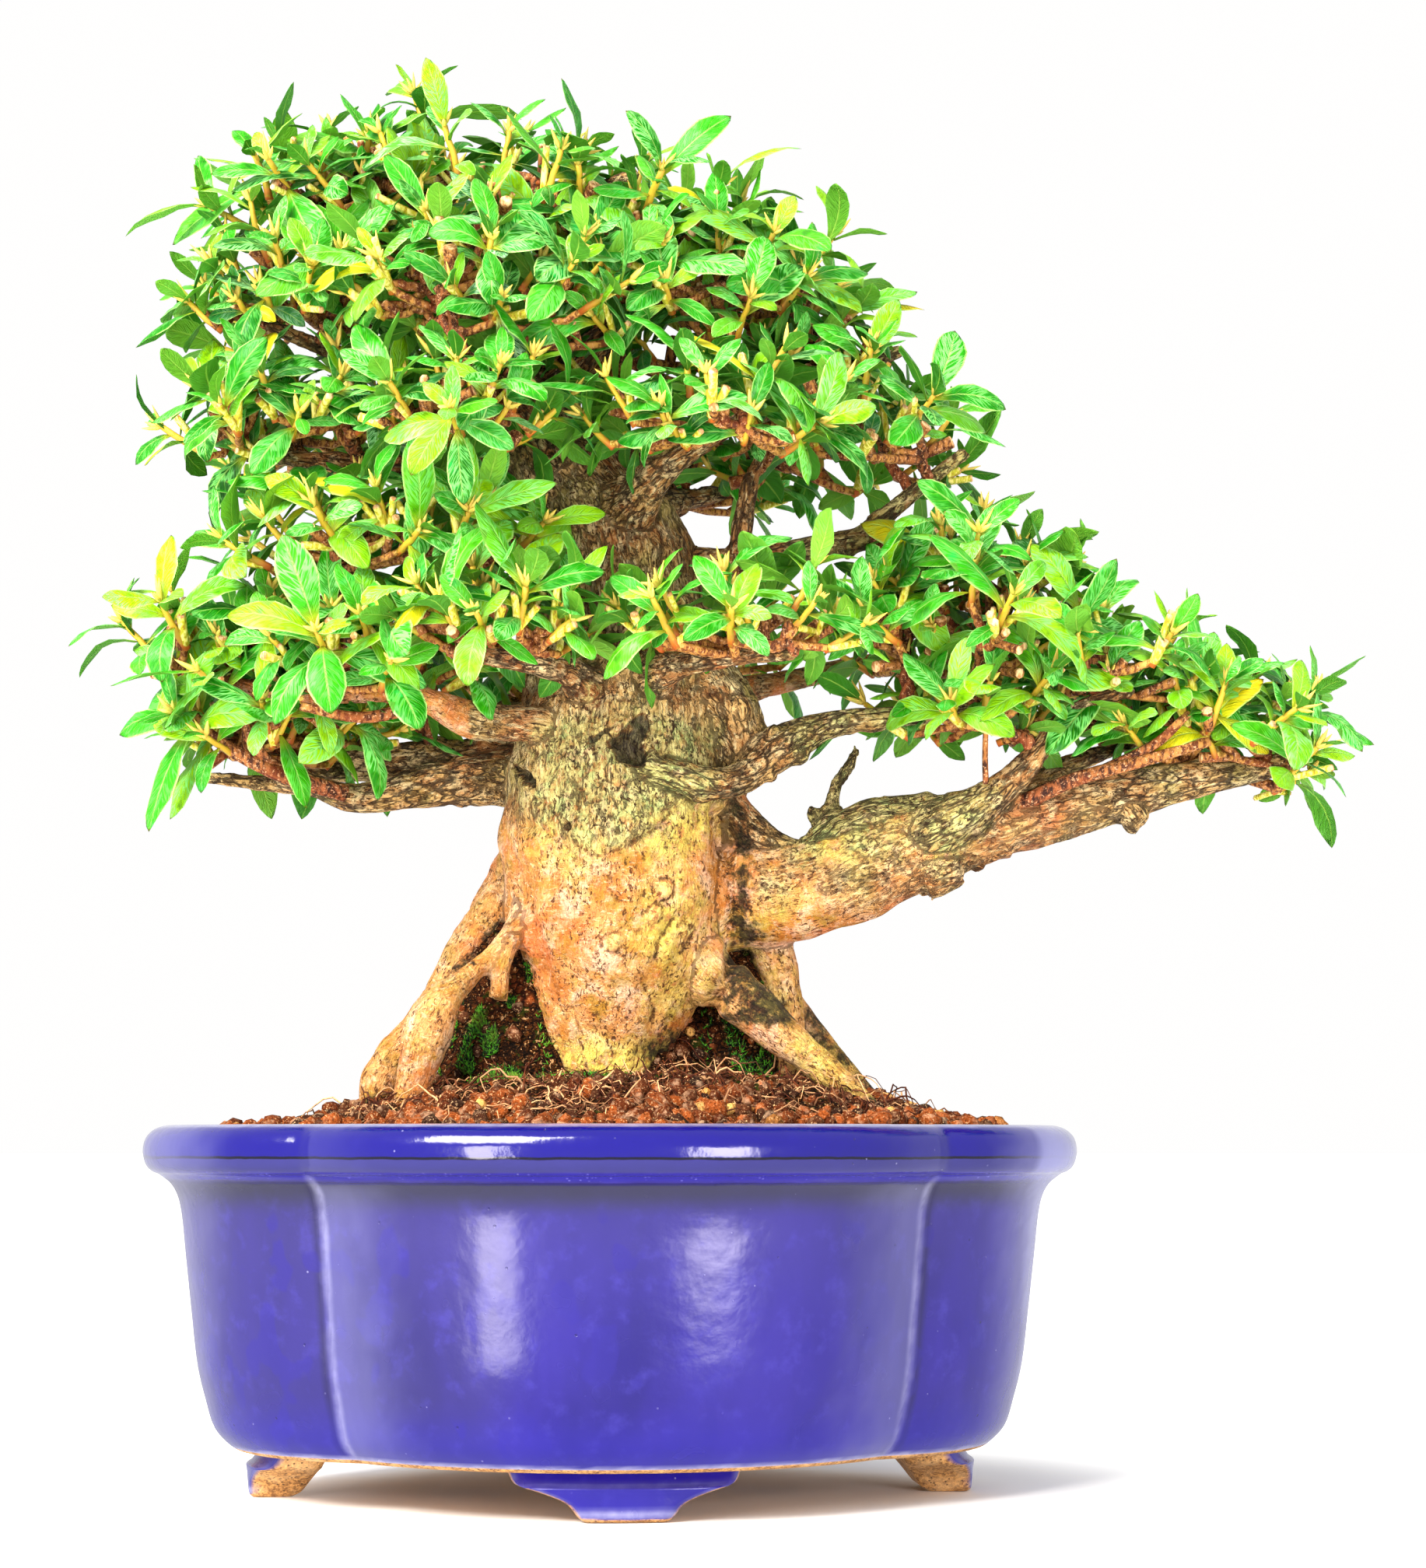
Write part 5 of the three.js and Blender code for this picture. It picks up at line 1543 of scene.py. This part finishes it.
FILLINGS = [  # the same, for gaps between pads that the frame leaves open
    ("crown_left_slope", (-84, 0, 373), (18, 22, 11), 2, 150),
    ("crown_right_top", (-2, 0, 365), (24, 26, 9), 2, 60),
    ("crown_right_slope", (30, 0, 346), (26, 28, 10), 2, 20),
    ("crown_right_edge", (58, 0, 318), (15, 22, 9), 1, 0),
    ("under_crown", (-62, -14, 266), (34, 24, 8), 3, 240),
    ("low_left_top", (-112, -2, 236), (18, 22, 8), 2, 180),
    ("low_left_bottom", (-104, -2, 211), (10, 14, 3), 1, 200),
    ("low_right_top", (103, -4, 258), (14, 18, 9), 2, 40),
    ("low_right_under", (104, -12, 217), (15, 14, 5), 2, 300),
    ("low_right_end", (184, 0, 205), (9, 10, 4), 1, 0),
]
FINE_PER_SPRAY = 8
TWIG_LENGTH = 7.0
LOWEST_TWIG = 214.0
WAY, PAD, INNER = slice(3, 6), 6, 7  # columns of sprays and shoots after the place


def spiral(at, reach, count, side, lowest):
    """Shoot i lies at level 1 - lowest (i + 0.5) / n on the
    ball, turned by the golden angle from the one below."""
    i = np.arange(count)
    level = 1 - lowest * (i + 0.5) / count
    ring = np.sqrt(1 - level**2)
    angle = math.radians(side) + (count - 1 - i) * GOLDEN_ANGLE
    way = np.stack([ring * np.cos(angle), ring * np.sin(angle), level], -1)
    return np.array(at) + way * np.array(reach), way


def reached(base, samples, low_cost=0.8):
    """The limb stop each point can reach best: distance + 0.8 times how far the stop lies above it."""
    gap = np.linalg.norm(base[:, None] - samples[None, :, :3], axis=-1)
    return (gap + low_cost * np.maximum(0, samples[None, :, 2] - base[:, None, 2] + 4)).argmin(1)


on_branch, on_trunk = stops[:, LIMB] > len(ROOTS), stops[:, LIMB] == 0
twig_stops = stops[on_branch | (on_trunk & (stops[:, 2] > LOWEST_TWIG))]
sprays, shoots = [], []
draw = np.random.default_rng(41)
for number, (name, at, reach, count, side) in enumerate(PADS + FILLINGS):
    base, way = spiral(at, reach, count, side, 0.95)
    sprays.append(np.column_stack([turned(base), turned(way), np.full(count, number)]))
    many = count * FINE_PER_SPRAY
    base, way = spiral(at, np.array(reach) + (5, 5, 3), many, side + 40, 1.22)
    inner = draw.random(many) < 0.25
    depth = np.where(inner, draw.uniform(0.35, 0.8, many), draw.uniform(0.9, 1.05, many))[:, None]
    base = np.array(at) + (base - at) * depth + draw.normal(0, 1.6, (many, 3))
    shoots.append(np.column_stack([turned(base), turned(way), np.full(many, number), inner]))
sprays, shoots = np.concatenate(sprays), np.concatenate(shoots)
for set_of in (sprays, shoots):
    set_of[:, WAY] = unit(set_of[:, WAY] + (0, 0, 0.5))
    limb = twig_stops[reached(set_of[:, :3], twig_stops)]
    away = set_of[:, :3] - limb[:, :3]
    short = np.maximum(TWIG_LENGTH + limb[:, RADIUS] - np.linalg.norm(away, axis=1), 0)[:, None]
    set_of[:, :3] += unit(0.3 * unit(away) + 0.7 * set_of[:, WAY]) * short
print("sprays", len(sprays), "shoots", len(shoots))


# %% Twigs
def bowed(start, end, lift, draw, wander, steps):
    """Paths from start to end: a quadratic bow whose middle is moved by lift, plus a wander."""
    t = np.linspace(0, 1, steps)[None, :, None]
    middle = (start + end) / 2 + lift
    path = (1 - t) ** 2 * start[:, None] + 2 * t * (1 - t) * middle[:, None] + t * t * end[:, None]
    return path + np.sin(np.pi * t) * draw.normal(0, wander, path.shape)


def tapered(start, end, steps):
    """Radii along paths: start (1 - t) + end t."""
    t = np.linspace(0, 1, steps)[None, :]
    return np.asarray(start)[:, None] * (1 - t) + np.asarray(end)[:, None] * t


limb = twig_stops[reached(sprays[:, :3], twig_stops)]
main_start, main_end = limb[:, :3], sprays[:, :3] + 2 * sprays[:, WAY]
main_lift = unit(sprays[:, WAY]) * -2 + draw.normal(0, 2.0, (len(sprays), 3))
main_twigs = bowed(main_start, main_end, main_lift, draw, 0.7, 12)
main_radii = tapered(np.minimum(2.5, 0.8 * limb[:, RADIUS]), np.full(len(sprays), 1.35), 12)

same_pad = shoots[:, None, PAD] == sprays[None, :, PAD]
forks = main_twigs[:, 3:]
stop_gap = np.linalg.norm(shoots[:, None, None, :3] - forks[None], axis=-1)
stop_gap += np.maximum(0, forks[None, ..., 2] - shoots[:, None, None, 2] + 3) * 0.8
stop_gap += np.where(same_pad, 0, 25)[:, :, None]
choice = stop_gap.reshape(len(shoots), -1).argmin(1)
fork = forks.reshape(-1, 3)[choice]
fine_lift = -3.0 * shoots[:, WAY] + draw.normal(0, 1.5, (len(shoots), 3))
fine_twigs = bowed(fork, shoots[:, :3], fine_lift, draw, 0.28, 8)
fine_radii = tapered(draw.uniform(1.3, 1.75, len(shoots)), draw.uniform(0.95, 1.2, len(shoots)), 8)
print("main twigs", len(main_twigs), "fine twigs", len(fine_twigs))

# %% Cut stubs
STUBS = 420
parent = draw.integers(0, len(fine_twigs), STUBS)
where = draw.integers(2, 8, STUBS)
stub_start = fine_twigs[parent, where]
stub_way = unit(shoots[parent, WAY] + draw.normal(0, 0.55, (STUBS, 3)) + (0, 0, 0.25))
stub_long = draw.uniform(5.0, 13.0, STUBS)[:, None]
STUB_STOPS = np.array([0, 0.3, 0.6, 0.93, 0.97, 1.0])[None, :, None]
stub_paths = stub_start[:, None] + stub_way[:, None] * stub_long[:, None] * STUB_STOPS
stub_taper = np.array([0.85, 0.9, 0.95, 1.0, 1.0, 0.85])[None, :]
stub_radii = draw.uniform(1.1, 2.1, STUBS)[:, None] * stub_taper
RUNNERS = [  # thick twigs that show under the foliage: points, first and last radius
    ([(117, -13, 196), (133, -18, 203), (152, -20, 208), (172, -18, 214)], 2.6, 1.4),
    ([(140, -16, 205), (156, -20, 213), (166, -20, 222)], 1.9, 1.1),
    ([(107.5, -20, 197), (107, -21, 208), (107.5, -21, 222)], 0.95, 0.8),
    ([(-78, -8, 200), (-97, -17, 205), (-115, -20, 215), (-121, -20, 222)], 2.7, 1.5),
    ([(-92, -12, 203), (-104, -22, 214), (-106, -24, 224)], 1.8, 1.1),
    ([(-52, -28, 224), (-70, -33, 219), (-88, -34, 222)], 2.2, 1.3),
]
runner_paths = turned([smooth_run(path, 11)[:: len(path) - 1] for path, _, _ in RUNNERS])
runner_radii = tapered([r[1] for r in RUNNERS], [r[2] for r in RUNNERS], 12)
GREEN_STUBS = 620
parent = draw.integers(0, len(shoots), GREEN_STUBS)
green_way = unit(shoots[parent, WAY] + draw.normal(0, 0.5, (GREEN_STUBS, 3)) + (0, 0, 0.3))
green_long = draw.uniform(7.0, 16.0, GREEN_STUBS)[:, None]
green_paths = shoots[parent, :3][:, None] + green_way[:, None] * green_long[:, None] * STUB_STOPS
green_taper = np.array([1.0, 1.0, 0.95, 0.95, 0.95, 0.8])[None, :]
green_radii = draw.uniform(0.85, 1.45, GREEN_STUBS)[:, None] * green_taper


def twig_mesh():
    """All twigs and stubs as tubes of six to eight sides. young
    rises towards the tips, cut is 1 on the sawn faces."""
    shapes, young, cut = [], [], []
    for paths, radii, sides, tips, end in (
        (main_twigs, main_radii, 7, (0.0, 0.25), 0.0),
        (runner_paths, runner_radii, 8, (0.1, 0.5), 0.0),
        (fine_twigs, fine_radii, 6, (0.2, 0.9), 0.0),
        (stub_paths, stub_radii, 7, (0.3, 0.5), 1.0),
        (green_paths, green_radii, 6, (1.0, 1.6), 1.0),
    ):
        count, rows = paths.shape[:2]
        shapes.append(tubes(paths, radii, sides))
        sawn = np.zeros(rows)
        sawn[-2:] = end
        young.append(tube_values(np.linspace(*tips, rows), tips, count, sides))
        cut.append(tube_values(sawn, (0.0, end), count, sides))
    points, *faces = joined(shapes)
    mesh = as_mesh("twigs", points, faces)
    set_trait(mesh, "young", np.concatenate(young))
    set_trait(mesh, "cut", np.concatenate(cut))
    return mesh


def twig_finish():
    """Grey-brown to orange-brown to yellow-green as twigs get younger; pale wood where cut."""
    f = Finish("twig_bark", Specular_IOR_Level=0.3)
    at = f.place()
    young, cut = f.trait("young"), f.trait("cut")
    flake = f.clouds(f.place((1, 1, 0.4)), 1.3, 4, 0.65)
    old = f.mix(flake.between(0.4, 0.6), "2c1206", "96522a")
    new = f.mix(flake.between(0.42, 0.58), "6e3410", "cc9244")
    body = f.mix(young.between(0.1, 0.75), old, new)
    body = f.coats(
        body,
        (f.clouds(at, 9, 2).between(0.5, 0.7) * 0.6, "7d3009"),
        (f.clouds(at, 0.9, 4, 0.7).between(0.56, 0.62) * young.between(0.9, 0.7) * 0.7, "e0a878"),
    )
    green = f.mix(flake.between(0.45, 0.6), "c4bc2a", "f6e884")
    body = f.coats(
        body,
        (young.between(0.8, 1.05), f.mix(flake.between(0.42, 0.36) * 0.7, green, "9a5a14")),
        (cut, f.mix(flake.between(0.4, 0.6), "b0743c", "e6c08c")),
    )
    f.wear(Base_Color=body, Roughness=0.62 + 0.25 * flake, Normal=f.relief(flake, 0.45))
    return f


piece("twigs", twig_mesh(), twig_finish())

# %% [markdown]
# ## Leaves
# A satsuki leaf is a narrow oval with its broadest part past the middle, a short point, a sunken
# midrib and a soft wave along the edge. One leaf here is a ring of six points carried along the
# midrib, five over the upper face and one under it, so it is a closed blade of 48 faces with a
# sharp edge. Each shoot has a green stem and a whorl of leaves: the lower ones larger and lying
# open, the upper ones small and upright.

# %% Shoots and their leaves
LEAF_LIFT = 0.35  # the share of a leaf's bend by which it starts upwards
LEAF_STATIONS = np.array([0.07, 0.2, 0.36, 0.53, 0.7, 0.85, 0.95])
LEAF_MOST = 9
FIRST_LOW_PAD = 10  # place in PADS
count = len(shoots)
draw = np.random.default_rng(51)
base, out = shoots[:, :3], shoots[:, WAY]
inner = shoots[:, INNER]
stem_long = draw.uniform(9, 17, count) * (1 - 0.35 * inner)
lean = np.column_stack([draw.normal(0, 0.16, (count, 2)), np.full(count, 0.12)])
stem_way = unit(out + lean)
tip = base + stem_way * stem_long[:, None]
stem_paths = bowed(base - 1.5 * stem_way, tip, draw.normal(0, 0.5, (count, 3)), draw, 0.15, 6)
stem_radii = tapered(draw.uniform(0.95, 1.3, count), draw.uniform(0.7, 0.9, count), 6)

leaf = np.arange(LEAF_MOST)[None, :]
leaf_many = (draw.integers(5, LEAF_MOST + 1, count) - (inner > 0.5) * 2)[:, None]
there = leaf < leaf_many
share = leaf / (leaf_many - 1)
side = unit(np.cross(np.array([0.1, 1, 0.2]), stem_way))
across = np.cross(stem_way, side)
spin = (
    leaf * GOLDEN_ANGLE
    + draw.uniform(0, 2 * np.pi, (count, 1))
    + draw.normal(0, 0.18, (count, LEAF_MOST))
)
opening = np.clip(1.62 - 1.0 * share + draw.normal(0, 0.2, share.shape), 0.2, 1.9)
root = stem_paths[:, :1] + (tip[:, None] - stem_paths[:, :1]) * (0.34 + 0.64 * share)[..., None]
spread = around(spin, side, across)
along = unit(np.cos(opening)[..., None] * stem_way[:, None] + np.sin(opening)[..., None] * spread)
up = unit(
    stem_way[:, None]
    + 0.45 * (out * (1, 1, 0))[:, None]
    + (0, -0.28, 0.35)
    + draw.normal(0, 0.2, along.shape)
)
wide_way = unit(np.cross(up, along))
face_way = np.cross(along, wide_way)
length = (14 + 16 * draw.random(share.shape) ** 1.6) * (1 - 0.25 * share**2)
length *= 1 - 0.12 * inner[:, None]
low_front = (shoots[:, PAD] >= FIRST_LOW_PAD) & (out[:, 1] < 0.2)
length *= np.where(low_front[:, None] & (draw.random(share.shape) < 0.25), 1.3, 1)
width = length * draw.uniform(0.28, 0.42, share.shape)
bend = draw.uniform(0.5, 2.1, share.shape) * (1 - 0.35 * share)
fold = draw.uniform(-0.2, 0.4, share.shape)
twist = draw.normal(0, 0.28, share.shape)
wave = draw.uniform(0, 2 * np.pi, share.shape)
# Leaves of the low pads that face the front are drawn lighter: painted light from the front.
lightness = draw.random(share.shape) ** np.where(low_front, 0.65, 0.9)[:, None]
age = np.clip(1.1 - 0.85 * share + draw.normal(0, 0.28, share.shape), 0, 1)
age = age * (0.6 + 0.4 * inner[:, None]) * np.where(low_front, 0.55, 0.9)[:, None]
sick = (draw.random(share.shape) < 0.014) * draw.uniform(0.5, 1.0, share.shape)
hang = root + along * length[..., None]
hang_x, hang_y, hang_z = np.moveaxis(hang, -1, 0)
before_branch = (hang_x > 98) & (hang_x < 180) & (hang_y < 12)
there &= ~(before_branch & (hang_z < 203 + 0.14 * (hang_x - 98)))
print("leaves", int(there.sum()))


# %% Leaf blades
def blades(keep, thick=0.34):
    """Midrib: an arc that starts up by 0.35 of bend and turns down by bend over its length.
    Half width: w u^1.33 (1-u)^0.85, scaled to its widest. Height off the midrib, in half widths:
    fold |v| - 0.3 v v, plus a wave 0.14 sin(9 u + phase) v v along the edge."""
    u = LEAF_STATIONS[None, :, None]
    v = np.array([-1, -0.5, 0, 0.5, 1, 0])[None, None, :]
    k = lambda values: values[keep][:, None, None]
    most = 0.61**1.33 * 0.39**0.85
    half = 0.5 * k(width) * (u**1.33 * (1 - u) ** 0.85 / most + 0.07 * (1 - u))
    turn, long = k(bend), k(length)
    start = LEAF_LIFT * turn
    midrib = lambda u: (
        (np.sin(start) - np.sin(start - turn * u)) / turn,
        (np.cos(start - turn * u) - np.cos(start)) / turn,
    )
    reach, rise = midrib(u)
    lift = half * (k(fold) * np.abs(v) - 0.3 * v * v + 0.14 * np.sin(9 * u + k(wave)) * v * v)
    under = (np.arange(6) == 5)[None, None, :]
    lift = lift - np.where(under, thick * (1.5 - u), 0) - np.where(v == 0, 0.12, 0)
    roll = k(twist) * u
    sideways = half * v * np.cos(roll) - lift * np.sin(roll)
    height = half * v * np.sin(roll) + lift * np.cos(roll)
    tilt = start - turn * u
    a = long * reach - height * np.sin(tilt)
    b = long * rise + height * np.cos(tilt)
    first = root[keep][:, None]
    ahead, aside, above = (values[keep][:, None, None] for values in (along, wide_way, face_way))
    rings = first[:, None] + a[..., None] * ahead + sideways[..., None] * aside + b[..., None] * above
    reach, rise = midrib(1)
    last = first + long * reach * ahead[:, 0] + long * rise * above[:, 0]
    return np.concatenate([rings.reshape(len(first), -1, 3), first, last], 1)


RING, STATIONS = 6, len(LEAF_STATIONS)
LEAF_POINTS = RING * STATIONS + 2
leaf_quads = weave(STATIONS, RING)[:, ::-1]
leaf_j, last_ring = np.arange(RING), (STATIONS - 1) * RING
leaf_after = (leaf_j + 1) % RING
leaf_low = np.stack([np.full(RING, LEAF_POINTS - 2), leaf_j, leaf_after], -1)
leaf_high = np.stack([np.full(RING, LEAF_POINTS - 1), last_ring + leaf_after, last_ring + leaf_j], -1)


def leaf_pairs(faces):
    """The blade's own map: u along it, v from 0 to 1 across
    the upper face and from 2 to 3 across the lower one."""
    u = np.concatenate([np.repeat(LEAF_STATIONS, RING), [0, 1]])
    v = np.concatenate([np.tile([0, 0.25, 0.5, 0.75, 1, 0.5], STATIONS), [0.5, 0.5]])
    lower = ((faces % RING == 5) & (faces < RING * STATIONS)).any(1)
    return np.stack([u[faces], v[faces] + 2 * lower[:, None]], -1)


def leaf_mesh(name, keep):
    """All kept blades in one mesh, with sharp edges, the leaf's map, and three numbers a leaf."""
    shapes = blades(keep)
    many = len(shapes)
    step = (np.arange(many) * LEAF_POINTS)[:, None, None]
    sets = (leaf_quads, leaf_low, leaf_high)
    faces = [(f[None] + step).reshape(-1, f.shape[1]) for f in sets]
    pairs = [np.tile(leaf_pairs(f)[None], (many, 1, 1, 1)) for f in sets]

    def rim(ends):
        own = ends % LEAF_POINTS
        column = np.where(own < RING * STATIONS, own % RING, -1)
        return ((column == 0) | (column == 4)).all(1) & (column[:, 0] == column[:, 1])

    mesh = as_mesh(name, shapes, faces, pairs, creases=rim)
    traits = np.stack([lightness[keep], age[keep], sick[keep]], -1)
    set_trait(mesh, "leaf", np.repeat(traits, LEAF_POINTS, 0))
    return mesh


LIGHT_THROUGH = 0.22


def leaf_finish():
    """Green by each leaf's numbers, paler along the midrib and side veins, with pale hairs and a
    pale rim that are partly a painted sheen, matt and pale below, lit from behind."""
    f = Finish("azalea_leaf", Specular_IOR_Level=0.16, Coat_Weight=0.1, Coat_Roughness=0.22)
    at = f.place()
    u, v, _ = f.parts(f.node("UVMap", {"uv_map": "UVMap"}))
    light, old, yellow = f.parts(f.trait("leaf", out=1))
    under = v.between(1.5, 1.51)
    off_rib = (v - under * 2 - 0.5).size() * 2
    slant = u * 7.5 - off_rib * 1.6
    vein = (slant * 6.2832).sine().between(0.86, 1.0) * off_rib.between(0.0, 0.15) * (1 - off_rib * 0.6)
    rib = off_rib.between(0.1, 0.03) * (1.0 - 0.6 * u)
    own = {0: u * 21 - off_rib * 5.5, 1: v * 3.4, 2: light * 60 + old * 37}
    blade_at = f.node("CombineXYZ", inputs=own)
    net = f.cells(f.stirred(blade_at, 1.2, 0.9), 1.15, "DISTANCE_TO_EDGE").between(0.21, 0.07)
    # Pale hairs over the net: partly real hairs, partly a painted sheen.
    hairs_and_sheen = f.clouds(at, 6, 2).between(0.36, 0.54) * (0.3 + 0.7 * (light * 29).sine().between(-0.4, 0.6))
    hairs_and_sheen = hairs_and_sheen * (1 - yellow)
    fresh = f.mix(light.between(0.0, 0.55), "147c04", "34a80c")
    fresh = f.mix(light.between(0.5, 1.0), fresh, "a4dc00")
    grown = f.mix(light, "0e4804", "16981a")
    body = f.mix(old.between(0.15, 0.75), fresh, grown)
    blotch = f.clouds(at, 6, 3, 0.55)
    body = f.coats(
        body,
        (blotch.between(0.58, 0.75) * 0.5, "20c858"),
        (blotch.between(0.42, 0.25) * 0.6, "0e5406"),
    )
    silver = (light * 43).sine().between(0.2, 0.9) * old.between(0.3, 0.8)
    body = f.coats(
        body,
        (silver * 0.45, "2c7c44"),
        (yellow, f.mix(u.between(0.3, 0.9), "e8e414", "f6d010")),
        (net * hairs_and_sheen * 0.82, f.mix(silver, "8cf078", "c4f0c0")),
        (vein * 0.35, "80d838"),
        # Pale rim, partly a painted highlight along the edge.
        (off_rib.between(0.84, 0.97) * 0.7, "bcec80"),
        (u.between(0.955, 0.995) * 0.8, "7a3a12"),
        (rib * 0.7, "b4e470"),
        (u.between(0.3, 0.04) * 0.85, "c6c024"),
    )
    below = f.mix(rib, f.mix(light, "2a7010", "7cbc3c"), "a8d850")
    body = f.mix(under * 0.85, body, below)
    f.wear(Base_Color=body, Roughness=0.34 + 0.12 * blotch + 0.22 * under)
    relief = 1 - rib - vein * 0.5 - net * 0.6
    f.wear(Normal=f.relief(relief, 0.35, 0.9))
    glow = f.node("BsdfTranslucent", inputs={"Color": tint("58c800")})
    both = f.node("MixShader", inputs={0: LIGHT_THROUGH})
    f.tree.links.new(f.skin.outputs[0], both.socket.node.inputs[1])
    f.tree.links.new(glow.socket, both.socket.node.inputs[2])
    f.tree.links.new(both.socket, f.tree.nodes["Material Output"].inputs["Surface"])
    return f


azalea_leaf = leaf_finish()
first_node = 1
for number, (name, _, _, sprays_here, _) in enumerate(PADS + FILLINGS):
    keep = there & (shoots[:, PAD] == number)[:, None]
    nodes = range(first_node, first_node + sprays_here) if number < len(PADS) else ()
    stands_for = [f"leafy_shoot_{k:02d}" for k in nodes]
    piece("leaves_" + name, leaf_mesh("leaves_" + name, keep), azalea_leaf, stands_for)
    first_node += sprays_here


# %% Stems and buds
BUDS = 5


def bud_paths():
    """Scales round each stem's tip: short tapered sticks that open by 0.2 to 0.95 radians."""
    angle = np.arange(BUDS)[None, :] * 2.4 + draw.uniform(0, 6.28, (count, 1))
    opened = draw.uniform(0.2, 0.95, (count, BUDS))
    spread = around(angle, side, across)
    way = np.cos(opened)[..., None] * stem_way[:, None] + np.sin(opened)[..., None] * spread
    t = np.array([0, 0.3, 0.65, 1.0])[None, None, :, None]
    long = draw.uniform(3.0, 7.5, (count, BUDS))[..., None, None]
    path = tip[:, None, None] + way[:, :, None] * long * t + np.array([0, 0, 1.0]) * long * 0.12 * t * t
    shape = np.array([0.5, 0.95, 0.7, 0.12])[None, None, :] * draw.uniform(0.6, 1.0, (count, BUDS, 1))
    return path.reshape(-1, 4, 3), shape.reshape(-1, 4)


def stem_mesh():
    """Stems and buds in one mesh. rise goes from 0 to 1 up a stem, and a bud has 1.4."""
    bud_path, bud_radii = bud_paths()
    points, *faces = joined([tubes(stem_paths, stem_radii, 6), tubes(bud_path, bud_radii, 5)])
    mesh = as_mesh("stems", points, faces)
    rise = tube_values(np.linspace(0, 1, 6), (0.0, 1.0), count, 6)
    bud = np.full(len(points) - len(rise), 1.4)
    set_trait(mesh, "rise", np.concatenate([rise, bud]))
    return mesh


def stem_finish():
    """Rust at the foot, olive above, and yellow on the buds."""
    f = Finish("green_stem", Specular_IOR_Level=0.4)
    at = f.place()
    rise = f.trait("rise")
    mottle = f.clouds(at, 2.2, 3)
    body = f.mix(rise.between(0.0, 0.45), "b4581c", "bf9a26")
    body = f.coats(
        body,
        (rise.between(0.95, 1.3), f.mix(mottle, "cfae2c", "f0d070")),
        (mottle.between(0.5, 0.7) * 0.4, "8cb81e"),
    )
    f.wear(Base_Color=body, Roughness=0.45 + 0.2 * mottle, Normal=f.relief(f.clouds(at, 0.8, 2), 0.15))
    return f


piece("green_stems", stem_mesh(), stem_finish())


# %% [markdown]
# ## Light and ground
# The photograph is bright and even: a white room, a broad lamp high on the left and two tall
# windows in front, which show as soft upright bars in the glaze. The ground is a wide pale disc
# that glows from about 90 mm outwards, painted light that hides its edge and the lamp's shadow.
# Glossy rays pass it by, so that the leaning wall of the pot shows the low part of the windows as
# it does in the picture.


# %% Ground, world and lamps
GROUND_Z = -0.15


def ground_mesh(radius=30000.0):
    """A flat disc: rings of growing radius r = R t t t around the pot."""
    rows, sides = 24, 64
    t = np.linspace(0.02, 1, rows)[:, None]
    angle = np.arange(sides)[None, :] / sides * 2 * np.pi
    r = radius * t**3
    rings = np.stack([r * np.cos(angle), r * np.sin(angle), 0 * r * angle + GROUND_Z], -1)
    j = np.arange(sides)
    middle = np.stack([np.full(sides, sides * rows), j, (j + 1) % sides], -1)
    points = np.concatenate([rings.reshape(-1, 3), [(0, 0, GROUND_Z)]])
    return as_mesh("ground", points, [weave(rows, sides)[:, ::-1], middle])


def ground_finish():
    """Near white, glowing by itself from 90 mm out and fully from 190 mm: painted light
    that meets the white room without an edge and washes out the lamp's shadow beside the pot."""
    f = Finish("pale_ground", Specular_IOR_Level=0.15, Emission_Strength=0.8)
    at = f.place()
    wash = f.clouds(at, 180, 3)
    away = f.node("VectorMath", {"operation": "LENGTH"}, {0: at}, out=1)
    f.wear(
        Base_Color=f.mix(wash, "efeeec", "f6f5f3"),
        Emission_Color=f.mix(away.between(90, 190), "000000", "ffffff"),
        Roughness=0.6 + 0.2 * f.clouds(at, 20, 2),
    )
    return f


ground = shown("ground", ground_mesh())
ground.data.materials.append(ground_finish().material)
ground.visible_glossy = False

ROOM_LIGHT = 0.86
world = bpy.data.worlds.new("white_room")
bpy.context.scene.world = world
world.use_nodes = True
room = world.node_tree.nodes["Background"]
seen = world.node_tree.nodes.new("ShaderNodeLightPath").outputs["Is Camera Ray"]
level = world.node_tree.nodes.new("ShaderNodeMapRange")
level.inputs["To Min"].default_value = ROOM_LIGHT
world.node_tree.links.new(seen, level.inputs["Value"])
world.node_tree.links.new(level.outputs[0], room.inputs["Strength"])
room.inputs["Color"].default_value = (1.0, 0.995, 0.99, 1)
bpy.context.scene.view_settings.view_transform = "Standard"


def lamp(name, place, aim, width, height, watts, colour):
    """A flat lamp of that width and height in mm, facing aim."""
    light = bpy.data.lights.new(name, "AREA")
    light.shape = "RECTANGLE"
    light.size, light.size_y = width / 1000, height / 1000
    light.energy = watts
    light.color = colour
    made = shown(name, light)
    place = turned(place) / 1000 + POT_MIDDLE
    way = Vector(place - (turned(aim) / 1000 + POT_MIDDLE)).to_track_quat("Z", "Y")
    made.matrix_world = Matrix.LocRotScale(Vector(place), way, None)


lamp("key_lamp", (-900, -1150, 1350), (0, 0, 180), 1000, 1000, 96, (1.0, 0.97, 0.92))
lamp("window_left", (-540, -860, 40), (0, -60, 60), 200, 600, 6.5, (1.0, 0.93, 0.98))
lamp("window_right", (520, -860, 60), (0, -60, 60), 270, 480, 8, (1.0, 0.93, 0.98))
print("lamps set")
